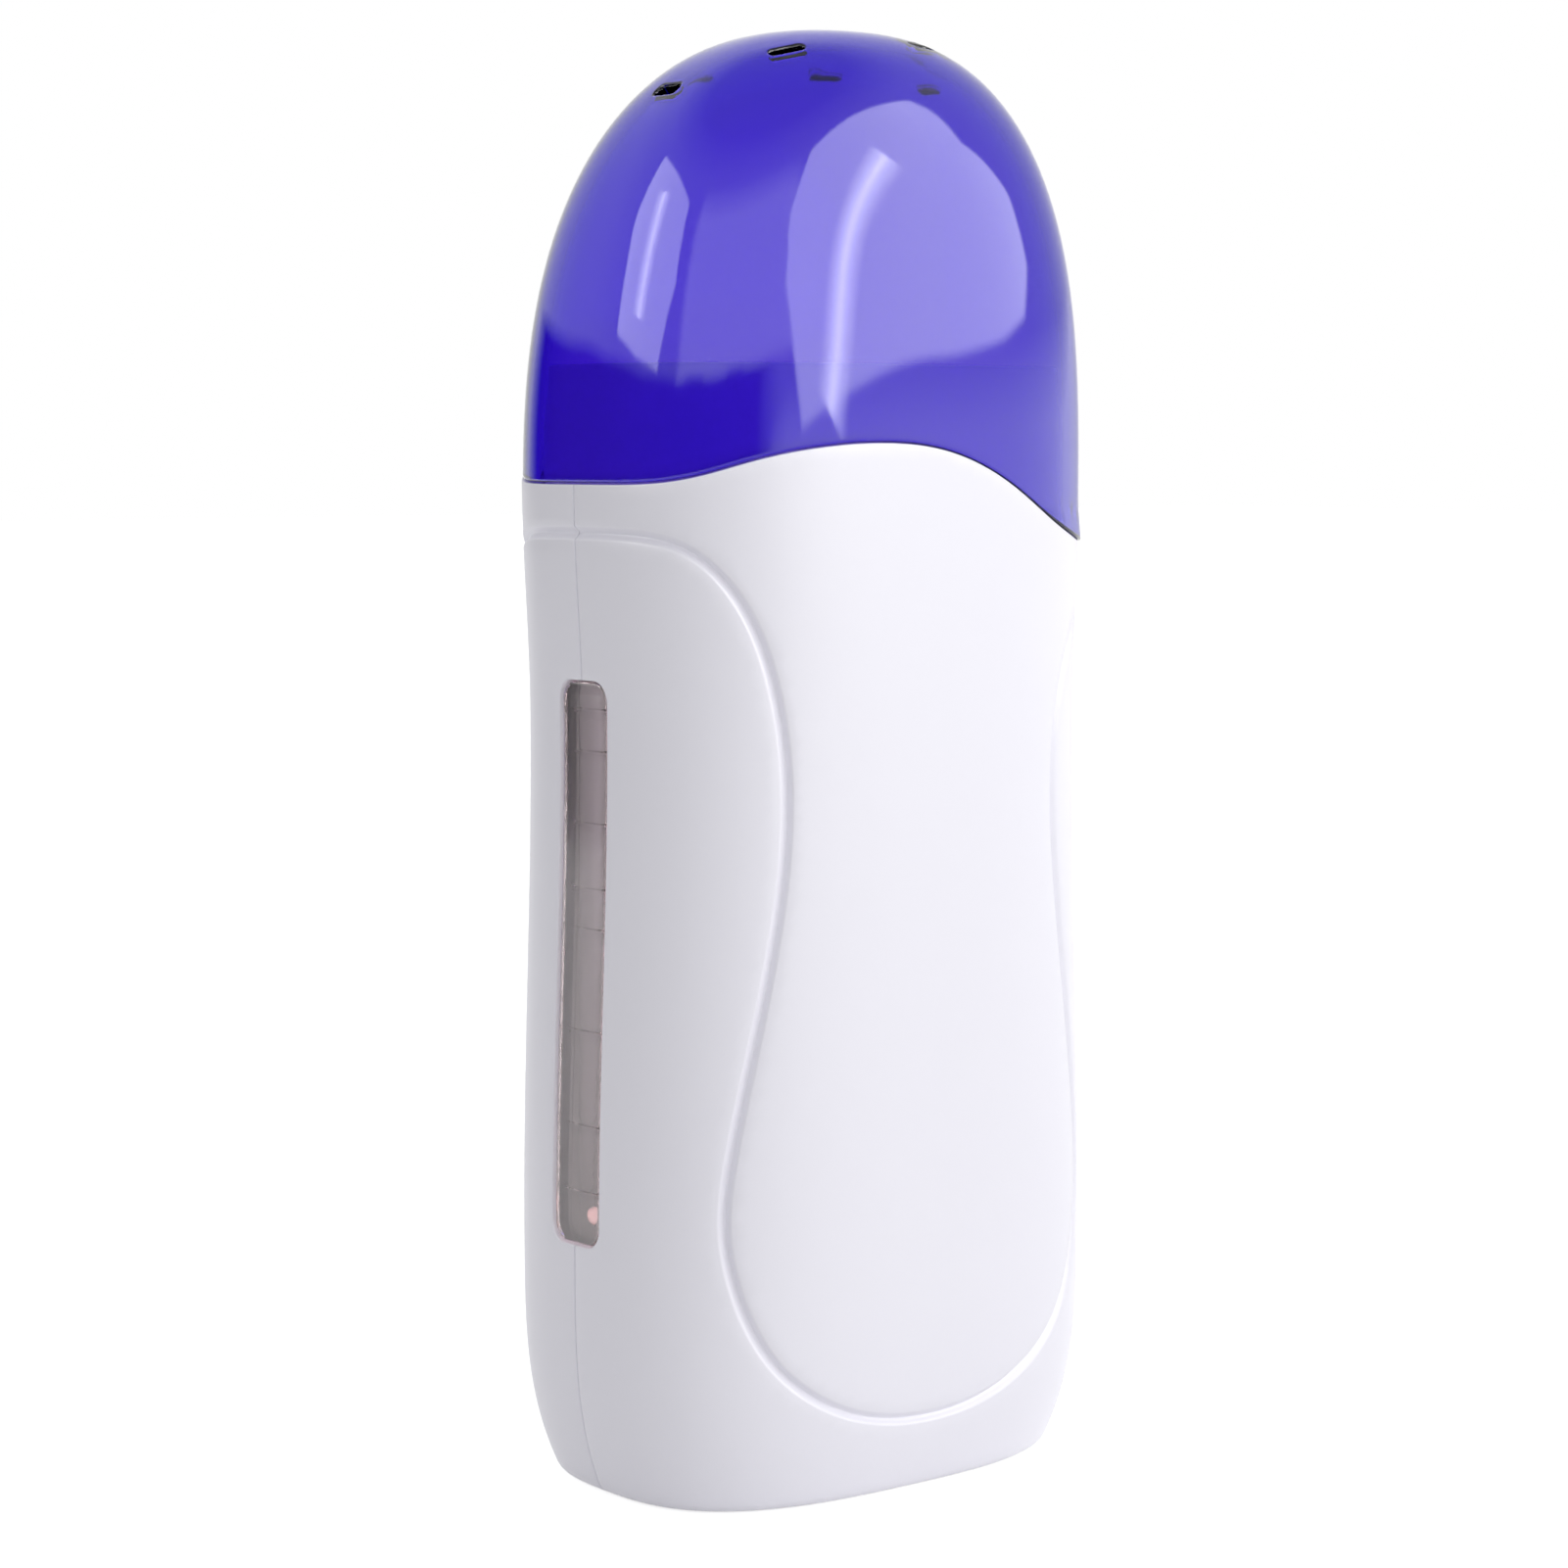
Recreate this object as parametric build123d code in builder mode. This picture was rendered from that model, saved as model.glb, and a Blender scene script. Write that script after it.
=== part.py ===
from build123d import *

import os
from math import cos, pi, radians, sin, sqrt

# Roll-on wax heater: a white two-part body that stands on its flat base, with a translucent
# domed cap that lifts off, and a well inside for one roll-on wax cartridge.
#
# Frame: origin at the centre of the base, +Z up, front face towards -Y, left side towards -X.
# All lengths are in millimetres.

# ---------------------------------------------------------------- driving dimensions

# Outer form of the body: superelliptic girths, wide at the hip, drawn in at the waist
hip_half_width = 37.9
hip_level = 32.0
waist_half_width = 36.2
waist_level = 100.0
shoulder_half_width = 37.4
shoulder_level = 131.0
body_half_depth = 27.3
foot_tuck = 4.3  # how far the foot draws in below the hip
foot_tuck_power = 3.4
foot_rounding = 1.2
girth_power = 2.85  # 2 is an ellipse, larger is squarer

# Waved line on which the cap meets the body
edge_left_level = 131.0
edge_crest_level = 136.2
edge_right_level = 124.0
edge_crest_x = -8.0
edge_gap = 0.3

# Body shells
shell_wall = 1.9
base_wall = 2.5
rib_wall = 1.6
front_rib_x = 10.0
rear_rib_x = 22.0
rib_bottom_level = 34.0
rib_top_level = 115.0
overshoot = 1.0  # how far a cut runs past the face it opens

# Pressed S-shaped groove that frames the front and rear panels
groove_width = 1.5
groove_depth = 0.5
groove_margin = 6.2  # below the cap line on the narrow sides
groove_waist_level = 92.0
groove_waist_x = 22.4
groove_belly_x = 29.6  # where the groove swings out, below the waist
groove_belly_level = 37.0
groove_foot_level = 10.2

# Cap
total_height = 190.0
cap_wall = 2.0
dome_level = 128.0  # where the straight skirt ends and the dome begins
dome_half_width = 37.4
cap_setback = 0.3  # the dome is this much shallower than the body, front and back
skirt_flare = 0.3
dome_lean = 4.4  # the crown stands off centre towards +X
dome_power_left = 2.8
dome_power_right = 2.6
dome_power_depth = 2.85
crown_power = 2.2
vent_length = 5.2
vent_width = 1.8
vent_ring_half_width = 22.4
vent_ring_half_depth = 12.0
vent_count = 6

# Cartridge well, with the neck that the cap slides over
well_width = 53.0
front_room = 5.3  # between the front shell's wall and the well
heater_room = 8.3  # between the well and the rear shell's wall
well_corner = 8.0
well_wall = 1.6
well_floor_level = 30.0
well_floor = 2.0
neck_top_level = 146.0
neck_foot_level = 121.0
neck_wall = 1.8
neck_gap = 0.6
neck_shell_gap = 0.2
deck_level = 136.0
deck_wall = 2.0

# Viewing windows in the narrow sides
window_width = 10.2
window_bottom = 33.4
window_height = 72.6
window_corner = 2.6
window_recess = 0.3
window_gap = 0.12
window_flange = 2.0
window_flange_wall = 1.4
sight_slot_width = 8.0
sight_slot_bottom = 44.0
sight_slot_top = 102.0

# Heating plate in the rear wall of the well
plate_width = 32.0
plate_height = 60.0
plate_bottom = 38.0
plate_rim = 2.4
plate_rim_wall = 1.5
plate_gap = 0.15

# Heater stack on the plate, from the plate outwards
stack_shift = -4.0
film_wall = 0.3
film_side_margin = 0.5
film_end_margin = 1.5
electrode_wall = 0.4
stone_width = 19.0
stone_height = 22.0
stone_wall = 2.0
stone_pitch = 25.0
electrode_tab = 3.0
clamp_wall = 0.8
clamp_width = 20.0
clamp_foot = 6.0
clamp_run = 4.0
clamp_screw_spacing = 13.0
clamp_screw_radius = 1.0
clamp_screw_length = 3.2
clamp_screw_head_radius = 2.0
clamp_screw_head = 1.3
clamp_boss_radius = 2.6

# Thermostat and fuse, in line beside the stack
guard_x = 12.0
thermostat_width = 7.4
thermostat_height = 20.0
thermostat_wall = 3.6
thermostat_corner = 0.7
thermostat_bottom = 52.0
lead_radius = 0.45
lead_length = 2.6
fuse_radius = 1.7
fuse_height = 9.0
fuse_bevel = 0.7
sleeve_radius = 2.3
sleeve_bore = 1.85
sleeve_height = 17.0

# Indicator lamp behind the left window
led_level = 36.8
led_radius = 1.5
led_gap = 0.7  # between the lamp's tip and the window
led_rounding_share = 0.3  # of the lamp's height
led_tip_radius = 0.1  # of the flat that is left at the lamp's tip at least
led_flange_radius = 1.9
led_flange_share = 0.22  # of the lamp's height
led_board_width = 12.0
led_board_height = 14.0
led_board_wall = 1.2
led_board_head = 3.8  # above the lamp
resistor_radius = 1.1
resistor_length = 6.0
resistor_bevel = 0.4
resistor_foot = 3.3  # above the lower edge of the board

# Mains inlet in the base
inlet_width = 20.0
inlet_depth = 13.0
inlet_corner = 3.0
inlet_recess = 0.6
inlet_height = 13.5
inlet_flange = 2.0
inlet_flange_wall = 1.5
inlet_gap = 0.2
keeper_width = 10.0
keeper_height = 3.2
cavity_radius = 3.95
cavity_spread = 3.0
cavity_waist = 6.9
cavity_height = 9.5
pin_radius = 1.18
pin_spacing = 8.6
pin_setback = 1.5
pin_bore_gap = 0.04
pin_collar_radius = 1.9
pin_collar = 0.8
pin_tail_radius = 0.8
pin_tail = 3.6
pin_bevel = 0.5

# Wires
wire_radius = 0.8
wire_bend = 2.4
link_wire_bend = 1.9
lamp_wire_radius = 0.6
lamp_wire_bend = 2.0
lamp_wire_spread = 4.0
lamp_wire_level = 20.8  # over the screw bosses

# Screws that hold the shells and the well
shell_screw_x = 23.0
shell_screw_level = 14.0
shell_screw_radius = 1.45
shell_screw_bite = 11.0
shell_screw_head_radius = 2.8
shell_screw_head = 1.9
shell_boss_radius = 3.6
shell_screw_seat = 8.0  # from the seam to the seat of the head
well_screw_x = 15.0
well_screw_level = 22.5
well_screw_length = 5.6
well_lug_width = 8.0
well_lug_drop = 10.0
thread_gap = 0.05
shank_gap = 0.25
seam_gap = 0.05

# Shares of a screw head's height or radius
head_bevel = 0.4
cross_length = 0.9
cross_width = 0.25
cross_depth = 0.5

# Tongues of the front shell that reach behind the rear one
tongue_height = 8.0
tongue_reach = 4.0
tongue_root = 7.0
tongue_wall = 1.6
tongue_lower_level = 23.0
tongue_upper_level = 114.0

dome_half_depth = body_half_depth - cap_setback
well_depth = 2 * (body_half_depth - shell_wall - well_wall) - front_room - heater_room
well_shift = (front_room - heater_room) / 2

GIRTH_POINTS = 24
BODY_LEVELS = (0.3, 1.2, 4.5, 9, 16, 24, 32, 48, 66, 84, 100, 112, 122, 131)
DOME_ANGLES = (0, 10, 20, 30, 40, 50, 60, 68, 75, 81, 86, 89)

os.makedirs("parts", exist_ok=True)


def save(piece, name):
    """Label a finished piece and write it to its own STEP file."""
    piece.part.label = name
    export_step(piece.part, f"parts/{name}.step")


# ---------------------------------------------------------------- outer forms


def ease(share):
    """Half a cosine wave: 0 to 1 with level ends."""
    return (1 - cos(pi * min(1, max(0, share)))) / 2


def foot_draw(level):
    """How far the body draws in at a level below the hip, with a rounding at the very foot."""
    tuck = foot_tuck * max(0, 1 - level / hip_level) ** foot_tuck_power
    return tuck + foot_rounding - sqrt(foot_rounding**2 - max(0, foot_rounding - level) ** 2)


def body_half_width(level):
    if level < waist_level:
        share = ease((level - hip_level) / (waist_level - hip_level))
        return hip_half_width + share * (waist_half_width - hip_half_width) - foot_draw(level)
    share = ease((level - waist_level) / (shoulder_level - waist_level))
    return waist_half_width + share * (shoulder_half_width - waist_half_width)


def girth_point(angle, left, right, depth, power, centre_x=0.0):
    """A point of a superelliptic girth; angle 0 is +X and 90 is +Y, in degrees."""
    c, s = cos(radians(angle)), sin(radians(angle))
    reach = (abs(c) ** power + abs(s) ** power) ** (-1 / power)
    width = right if c > 0 else left
    return (centre_x + width * c * reach, depth * s * reach)


def girth(level, left, right, depth, power, centre_x=0.0):
    """A closed girth as a face at its level."""
    turns = [90 + i * 360 / GIRTH_POINTS for i in range(GIRTH_POINTS)]
    points = [girth_point(turn, left, right, depth, power, centre_x) for turn in turns]
    # every girth has the same knots, so that a loft through many of them stays light
    knots = [float(i) for i in range(GIRTH_POINTS + 1)]
    with BuildSketch(Plane.XY.offset(level)) as face:
        with BuildLine():
            add(Edge.make_spline(points, periodic=True, parameters=knots))
        make_face()
    return face.sketch


def body_girth(level, inset):
    half_width = body_half_width(level) - inset
    return girth(level, half_width, half_width, body_half_depth - foot_draw(level) - inset, girth_power)


def body_form(inset, bottom, top):
    """The body's outer form as a solid, drawn in by inset."""
    levels = [bottom] + [z for z in BODY_LEVELS if bottom < z < top - 1] + [top]
    with BuildPart() as form:
        loft(sections=[body_girth(z, inset) for z in levels])
    return form.part


def cap_girth(level, inset):
    """A girth of the cap: a straight skirt below dome_level, a leaning dome above."""
    crown = total_height - inset
    t = max(0, (level - dome_level) / (crown - dome_level))
    flare = skirt_flare * max(0, dome_level - level) / (dome_level - edge_right_level)
    left = (dome_half_width - inset) * (1 - t**dome_power_left) ** (1 / dome_power_left)
    right = (dome_half_width - inset) * (1 - t**dome_power_right) ** (1 / dome_power_right)
    depth = (dome_half_depth - inset) * (1 - t**dome_power_depth) ** (1 / dome_power_depth)
    power = girth_power + (crown_power - girth_power) * t**3
    return girth(level, left + flare, right + flare, depth + flare, power, dome_lean * t**2)


def cap_form(inset, bottom):
    """The cap's outer form as a solid, drawn in by inset."""
    rise = total_height - inset - dome_level
    levels = [bottom, dome_level - 3] + [dome_level + rise * sin(radians(a)) for a in DOME_ANGLES]
    with BuildPart() as form:
        loft(sections=[cap_girth(z, inset) for z in levels])
    return form.part


# Heights between the cap line and the rim where the neck's form is measured
NECK_LEVELS = (134.0, 140.0)


def neck_form(inset, bottom, top):
    """The neck inside the cap, and inside the shells below the cap line."""
    cap_inset = cap_wall + neck_gap + inset
    shell_inset = shell_wall + neck_shell_gap + inset
    between = [z for z in (edge_right_level, dome_level, *NECK_LEVELS) if bottom + 1 < z < top - 1]
    with BuildPart() as form:
        loft(
            sections=[
                body_girth(z, shell_inset) if z < edge_right_level else cap_girth(z, cap_inset)
                for z in (bottom, *between, top)
            ]
        )
    return form.part


# Share of the half width, and share of the rise to the crest or of the fall from it
EDGE_RISE = ((-1.0, 0.0), (-0.74, 0.5), (-0.49, 0.885))
EDGE_FALL = ((0.085, 0.1), (0.365, 0.41), (0.6, 0.755), (0.79, 0.926), (1.0, 1.0))
EDGE_REACH = 60.0


def above_edge(lift):
    """Everything above the waved line, which runs straight from front to back."""
    rise = edge_crest_level - edge_left_level
    fall = edge_crest_level - edge_right_level
    points = [(x * dome_half_width, edge_left_level + s * rise + lift) for x, s in EDGE_RISE]
    points += [(edge_crest_x, edge_crest_level + lift)]
    points += [(x * dome_half_width, edge_crest_level - s * fall + lift) for x, s in EDGE_FALL]
    left, right, top = (-EDGE_REACH, points[0][1]), (EDGE_REACH, points[-1][1]), total_height + EDGE_REACH
    with BuildPart() as region:
        with BuildSketch(Plane.XZ):
            with BuildLine():
                Line(left, points[0])
                Spline(*points, tangents=((1, 0), (1, 0)))
                Polyline(points[-1], right, (EDGE_REACH, top), (-EDGE_REACH, top), left)
            make_face()
        extrude(amount=EDGE_REACH, both=True)
    return region.part


shell_top = edge_crest_level + 3
outer_form = body_form(0, 0, shell_top)
cavity_form = body_form(shell_wall, base_wall, shell_top)
mid_wall_form = body_form(shell_wall / 2, base_wall / 2, shell_top)
liner_form = body_form(shell_wall + neck_shell_gap, base_wall, shell_top)
over_edge = above_edge(0)

# ---------------------------------------------------------------- groove

# Above the waist: share of the way out to the side, share of the way up to the groove's top
GROOVE_UPPER = ((1.0, 1.0), (0.72, 0.93), (0.4, 0.77), (0.13, 0.43))
# From the waist down to the belly: share of the way out to the belly, share of the way down
GROOVE_MIDDLE = ((0.0, 0.0), (0.14, 0.28), (0.5, 0.55), (0.87, 0.8), (1.0, 1.0))
# From the belly to the middle of the foot: share of the way in, share of the way down
GROOVE_LOWER = ((0.06, 0.3), (0.21, 0.65), (0.55, 0.915))
GROOVE_SAMPLES = 28


def groove_side(top_level):
    """One side of the groove in front view, from the narrow side to the foot, as x and level."""
    rise, fall = top_level - groove_waist_level, groove_waist_level - groove_belly_level
    points = [
        (groove_waist_x + out * (shoulder_half_width - groove_waist_x), groove_waist_level + up * rise)
        for out, up in GROOVE_UPPER
    ]
    points += [
        (groove_waist_x + out * (groove_belly_x - groove_waist_x), groove_waist_level - down * fall)
        for out, down in GROOVE_MIDDLE
    ]
    points += [
        (groove_belly_x * (1 - across), groove_belly_level - down * (groove_belly_level - groove_foot_level))
        for across, down in GROOVE_LOWER
    ]
    return [(hip_half_width + groove_margin, top_level)] + points


left_groove = [(-x, z) for x, z in groove_side(edge_left_level - groove_margin)]
right_groove = groove_side(edge_right_level - groove_margin)
with BuildLine(mode=Mode.PRIVATE) as groove_line:
    Spline(*left_groove, (0, groove_foot_level), *reversed(right_groove))


def groove_side_line(offset):
    """The groove's line moved sideways in front view."""
    points = []
    for i in range(GROOVE_SAMPLES + 1):
        point, along = groove_line.line @ (i / GROOVE_SAMPLES), groove_line.line % (i / GROOVE_SAMPLES)
        points.append((point.X - offset * along.Y, point.Y + offset * along.X))
    return points


# a band from front to back, down to the depth of the groove
with BuildPart() as groove_cutter:
    with BuildSketch(Plane.XZ):
        with BuildLine():
            upper, lower = groove_side_line(groove_width / 2), groove_side_line(-groove_width / 2)
            Spline(*upper)
            Spline(*lower)
            Line(upper[0], lower[0])
            Line(upper[-1], lower[-1])
        make_face()
    extrude(amount=EDGE_REACH, both=True)
    add(body_form(groove_depth, 0, shell_top), mode=Mode.SUBTRACT)

# ---------------------------------------------------------------- windows

window_level = window_bottom + window_height / 2
window_flange_form = body_form(shell_wall + window_flange_wall, base_wall, shell_top)
window_face_form = body_form(window_recess, 0, shell_top)


def side_prism(width, height, corner, side):
    """A rounded bar through one narrow side, at the window's level; side is -1 or +1."""
    with BuildPart() as prism:
        with BuildSketch(Plane.YZ):
            with Locations((0, window_level)):
                RectangleRounded(width, height, corner)
        extrude(amount=side * EDGE_REACH)
    return prism.part


window_slots = [side_prism(window_width, window_height, window_corner, side) for side in (-1, 1)]


def window(side):
    """A clear bar: a face in the slot, and a flange behind the shells' wall."""
    flange_width = window_width + 2 * window_flange
    flange_height = window_height + 2 * window_flange
    bar_width, bar_height = window_width - 2 * window_gap, window_height - 2 * window_gap
    with BuildPart() as flange:
        add(cavity_form)
        add(window_flange_form, mode=Mode.SUBTRACT)
        add(side_prism(flange_width, flange_height, window_corner + window_flange, side), mode=Mode.INTERSECT)
    with BuildPart() as bar:
        add(window_face_form)
        add(window_flange_form, mode=Mode.SUBTRACT)
        add(side_prism(bar_width, bar_height, window_corner - window_gap, side), mode=Mode.INTERSECT)
        add(flange.part)
    return bar


left_window = window(-1)
save(left_window, "left_window")
right_window = window(1)
save(right_window, "right_window")

# ---------------------------------------------------------------- cap

with BuildPart() as cap:
    add(cap_form(0, edge_right_level - 3))
    add(cap_form(cap_wall, edge_right_level - 4), mode=Mode.SUBTRACT)
    add(above_edge(edge_gap), mode=Mode.INTERSECT)
    with BuildSketch(Plane.XY.offset(total_height)):
        for i in range(vent_count):
            turn = radians(i * 360 / vent_count)
            x, y = vent_ring_half_width * cos(turn), vent_ring_half_depth * sin(turn)
            tangent = Vector(-vent_ring_half_width * sin(turn), vent_ring_half_depth * cos(turn))
            with Locations(Location((x, y), Vector(1, 0).get_signed_angle(tangent))):
                SlotOverall(vent_length, vent_width)
    extrude(amount=-(total_height - neck_top_level) / 2, mode=Mode.SUBTRACT)
save(cap, "cap")

# ---------------------------------------------------------------- cartridge well

well_rear = well_shift + well_depth / 2 + well_wall
well_front = well_shift - well_depth / 2 - well_wall
well_side = well_width / 2 + well_wall
well_bottom = well_floor_level - well_floor
plate_level = plate_bottom + plate_height / 2
rim_face = well_rear + plate_rim_wall
clamp_screw_levels = [plate_level + s * (plate_height / 2 + clamp_foot + plate_rim / 2) for s in (-1, 1)]
clamp_screw_spots = [
    (stack_shift + s * clamp_screw_spacing / 2, z) for s in (-1, 1) for z in clamp_screw_levels
]

with BuildPart() as cartridge_well:
    # neck, closed by a deck round the mouth of the well
    add(neck_form(0, neck_foot_level, neck_top_level))
    add(neck_form(neck_wall, deck_level, neck_top_level + overshoot), mode=Mode.SUBTRACT)
    add(neck_form(neck_wall, neck_foot_level - overshoot, deck_level - deck_wall), mode=Mode.SUBTRACT)
    # tube of the well
    with BuildSketch(Plane.XY.offset(well_bottom)):
        with Locations((0, well_shift)):
            RectangleRounded(2 * well_side, well_rear - well_front, well_corner + well_wall)
    extrude(amount=deck_level - well_bottom)
    # lugs under the front wall, by which the well is screwed to the front shell
    with BuildSketch(Plane.XZ.offset(-well_front)):
        with Locations((-well_screw_x, well_screw_level), (well_screw_x, well_screw_level)):
            Rectangle(well_lug_width, well_lug_drop + well_floor)
    extrude(amount=-well_wall)
    # bosses for the clamp screws
    with BuildSketch(Plane.XZ.offset(-well_rear)):
        with Locations(*clamp_screw_spots):
            Circle(clamp_boss_radius)
    extrude(amount=-plate_rim_wall)
    with BuildSketch(Plane.XY.offset(well_floor_level)):
        with Locations((0, well_shift)):
            RectangleRounded(well_width, well_depth, well_corner)
    extrude(amount=neck_top_level, mode=Mode.SUBTRACT)
    # opening for the heating plate
    with BuildSketch(Plane.XZ.offset(-well_rear)):
        with Locations((0, plate_level)):
            Rectangle(plate_width, plate_height)
    extrude(amount=well_wall * 2, mode=Mode.SUBTRACT)
    # sight slots behind the windows
    with BuildSketch(Plane.YZ):
        with Locations((0, (sight_slot_bottom + sight_slot_top) / 2)):
            SlotOverall(sight_slot_top - sight_slot_bottom, sight_slot_width, rotation=90)
    extrude(amount=well_side + overshoot, both=True, mode=Mode.SUBTRACT)
    # pilot holes
    with BuildSketch(Plane.XZ.offset(-rim_face)):
        with Locations(*clamp_screw_spots):
            Circle(clamp_screw_radius + thread_gap)
    extrude(amount=clamp_screw_length - clamp_wall + thread_gap, mode=Mode.SUBTRACT)
    with BuildSketch(Plane.XZ.offset(-well_front)):
        with Locations((-well_screw_x, well_screw_level), (well_screw_x, well_screw_level)):
            Circle(shell_screw_radius + shank_gap)
    extrude(amount=-well_wall, mode=Mode.SUBTRACT)
save(cartridge_well, "cartridge_well")

# ---------------------------------------------------------------- body shells

shell_screw_spots = [(-shell_screw_x, shell_screw_level), (shell_screw_x, shell_screw_level)]
well_screw_spots = [(-well_screw_x, well_screw_level), (well_screw_x, well_screw_level)]
inlet_flange_top = base_wall + inlet_flange_wall
keeper_y = inlet_depth / 2 + inlet_gap
rib_level = (rib_bottom_level + rib_top_level) / 2
rib_height = rib_top_level - rib_bottom_level
tongue_levels = (tongue_lower_level, tongue_upper_level)

# inside of the front shell: screw bosses, ribs that bear on the well, keepers of the inlet
with BuildPart() as front_inside:
    with BuildSketch(Plane.XZ.offset(seam_gap)):
        with Locations(*shell_screw_spots):
            Circle(shell_boss_radius)
    extrude(amount=body_half_depth)
    with BuildSketch(Plane.XZ.offset(-well_front)):
        with Locations(*well_screw_spots):
            Circle(shell_boss_radius)
    extrude(amount=body_half_depth)
    with BuildSketch(Plane.XZ.offset(-well_front + neck_shell_gap)):
        with Locations((-front_rib_x, rib_level), (front_rib_x, rib_level)):
            Rectangle(rib_wall, rib_height)
    extrude(amount=body_half_depth)
    with BuildSketch(Plane.XZ.offset(keeper_y)):
        with Locations((0, inlet_flange_top + inlet_gap)):
            Rectangle(keeper_width, keeper_height, align=(Align.CENTER, Align.MIN))
    extrude(amount=body_half_depth)
    add(mid_wall_form, mode=Mode.INTERSECT)

# tongues: a root on the front shell's wall, and a thinner reach past the seam
with BuildPart() as tongues:
    for level in tongue_levels:
        inner = body_half_width(level) - shell_wall - tongue_wall
        with BuildSketch(Plane.XY.offset(level - tongue_height / 2)):
            for side, align in ((-1, Align.MAX), (1, Align.MIN)):
                with Locations((side * inner, tongue_reach)):
                    Rectangle(shell_wall + tongue_wall, tongue_root + tongue_reach, align=(align, Align.MAX))
        extrude(amount=tongue_height)
    add(liner_form, mode=Mode.INTERSECT)

with BuildPart() as tongue_roots:
    for level in tongue_levels:
        inner = body_half_width(level) - shell_wall - tongue_wall
        with BuildSketch(Plane.XY.offset(level - tongue_height / 2)):
            for side, align in ((-1, Align.MAX), (1, Align.MIN)):
                with Locations((side * inner, -tongue_root / 2)):
                    Rectangle(shell_wall + tongue_wall, tongue_root / 2, align=(align, Align.MAX))
        extrude(amount=tongue_height)
    add(mid_wall_form, mode=Mode.INTERSECT)

with BuildPart() as inlet_opening:
    with BuildSketch(Plane.XY):
        RectangleRounded(inlet_width + 2 * inlet_gap, inlet_depth + 2 * inlet_gap, inlet_corner)
    extrude(amount=base_wall)


def half_shell(keep):
    """One half of the body's wall, cut to the waved line, with its half of the slots and the inlet."""
    with BuildPart() as half:
        add(outer_form)
        add(cavity_form, mode=Mode.SUBTRACT)
        split(bisect_by=Plane.XZ, keep=keep)
        add(over_edge, mode=Mode.SUBTRACT)
        for slot in window_slots:
            add(slot, mode=Mode.SUBTRACT)
        add(inlet_opening.part, mode=Mode.SUBTRACT)
    return half.part


# pilot holes of the shell screws and of the well screws
with BuildPart() as front_pilots:
    with BuildSketch(Plane.XZ):
        with Locations(*shell_screw_spots):
            Circle(shell_screw_radius + thread_gap)
    extrude(amount=shell_screw_bite + thread_gap)
    with BuildSketch(Plane.XZ.offset(-well_front)):
        with Locations(*well_screw_spots):
            Circle(shell_screw_radius + thread_gap)
    extrude(amount=well_screw_length - well_wall)

with BuildPart() as front_shell:
    add(half_shell(Keep.TOP))
    add([front_inside.part, tongue_roots.part, tongues.part])
    add(groove_cutter.part, mode=Mode.SUBTRACT)
    add(front_pilots.part, mode=Mode.SUBTRACT)
save(front_shell, "front_shell")

# inside of the rear shell: boss tubes, ribs beside the heater, keepers of the inlet
with BuildPart() as rear_inside:
    with BuildSketch(Plane.XZ):
        with Locations(*shell_screw_spots):
            Circle(shell_boss_radius)
    extrude(amount=-body_half_depth)
    with BuildSketch(Plane.XZ.offset(-(well_rear + neck_shell_gap))):
        with Locations((-rear_rib_x, rib_level), (rear_rib_x, rib_level)):
            Rectangle(rib_wall, rib_height)
    extrude(amount=-body_half_depth)
    with BuildSketch(Plane.XZ.offset(-keeper_y)):
        with Locations((0, inlet_flange_top + inlet_gap)):
            Rectangle(keeper_width, keeper_height, align=(Align.CENTER, Align.MIN))
    extrude(amount=-body_half_depth)
    add(mid_wall_form, mode=Mode.INTERSECT)

# clearance holes for the shell screws, wider where their heads go in from behind
with BuildPart() as screw_wells:
    with BuildSketch(Plane.XZ):
        with Locations(*shell_screw_spots):
            Circle(shell_screw_radius + shank_gap)
    extrude(amount=-body_half_depth * 2)
    with BuildSketch(Plane.XZ.offset(-shell_screw_seat)):
        with Locations(*shell_screw_spots):
            Circle(shell_screw_head_radius + shank_gap)
    extrude(amount=-body_half_depth * 2)

with BuildPart() as rear_shell:
    add(half_shell(Keep.BOTTOM))
    add(rear_inside.part)
    add(groove_cutter.part, mode=Mode.SUBTRACT)
    add(screw_wells.part, mode=Mode.SUBTRACT)
save(rear_shell, "rear_shell")

# ---------------------------------------------------------------- heater


def on_rear(offset):
    """A plane facing +Y, whose x runs along +X and y along +Z, offset from the XZ plane."""
    return Plane(origin=(0, offset, 0), x_dir=(1, 0, 0), z_dir=(0, -1, 0))


with BuildPart() as heating_plate:
    with BuildSketch(on_rear(well_rear)):
        with Locations((0, plate_level)):
            RectangleRounded(plate_width + 2 * plate_rim, plate_height + 2 * plate_rim, plate_rim)
    extrude(amount=-plate_rim_wall)
    with BuildSketch(on_rear(well_rear)):
        with Locations((0, plate_level)):
            Rectangle(plate_width - 2 * plate_gap, plate_height - 2 * plate_gap)
    extrude(amount=well_wall)
save(heating_plate, "heating_plate")

stack_height = stone_pitch + stone_height
film_face = rim_face
electrode_face = film_face + film_wall
stone_face = electrode_face + electrode_wall
outer_electrode_face = stone_face + stone_wall
outer_film_face = outer_electrode_face + electrode_wall
clamp_face = outer_film_face + film_wall


def sheets(faces, width, height, wall):
    """Rectangular sheets of one thickness, each on its own face of the stack."""
    with BuildPart() as piece:
        for face in faces:
            with BuildSketch(on_rear(face)):
                with Locations((stack_shift, plate_level)):
                    Rectangle(width, height)
            extrude(amount=-wall)
    return piece


film_width = stone_width + 2 * film_side_margin
film_height = stack_height + 2 * film_end_margin
heater_insulation = sheets((film_face, outer_film_face), film_width, film_height, film_wall)
save(heater_insulation, "heater_insulation")

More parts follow.
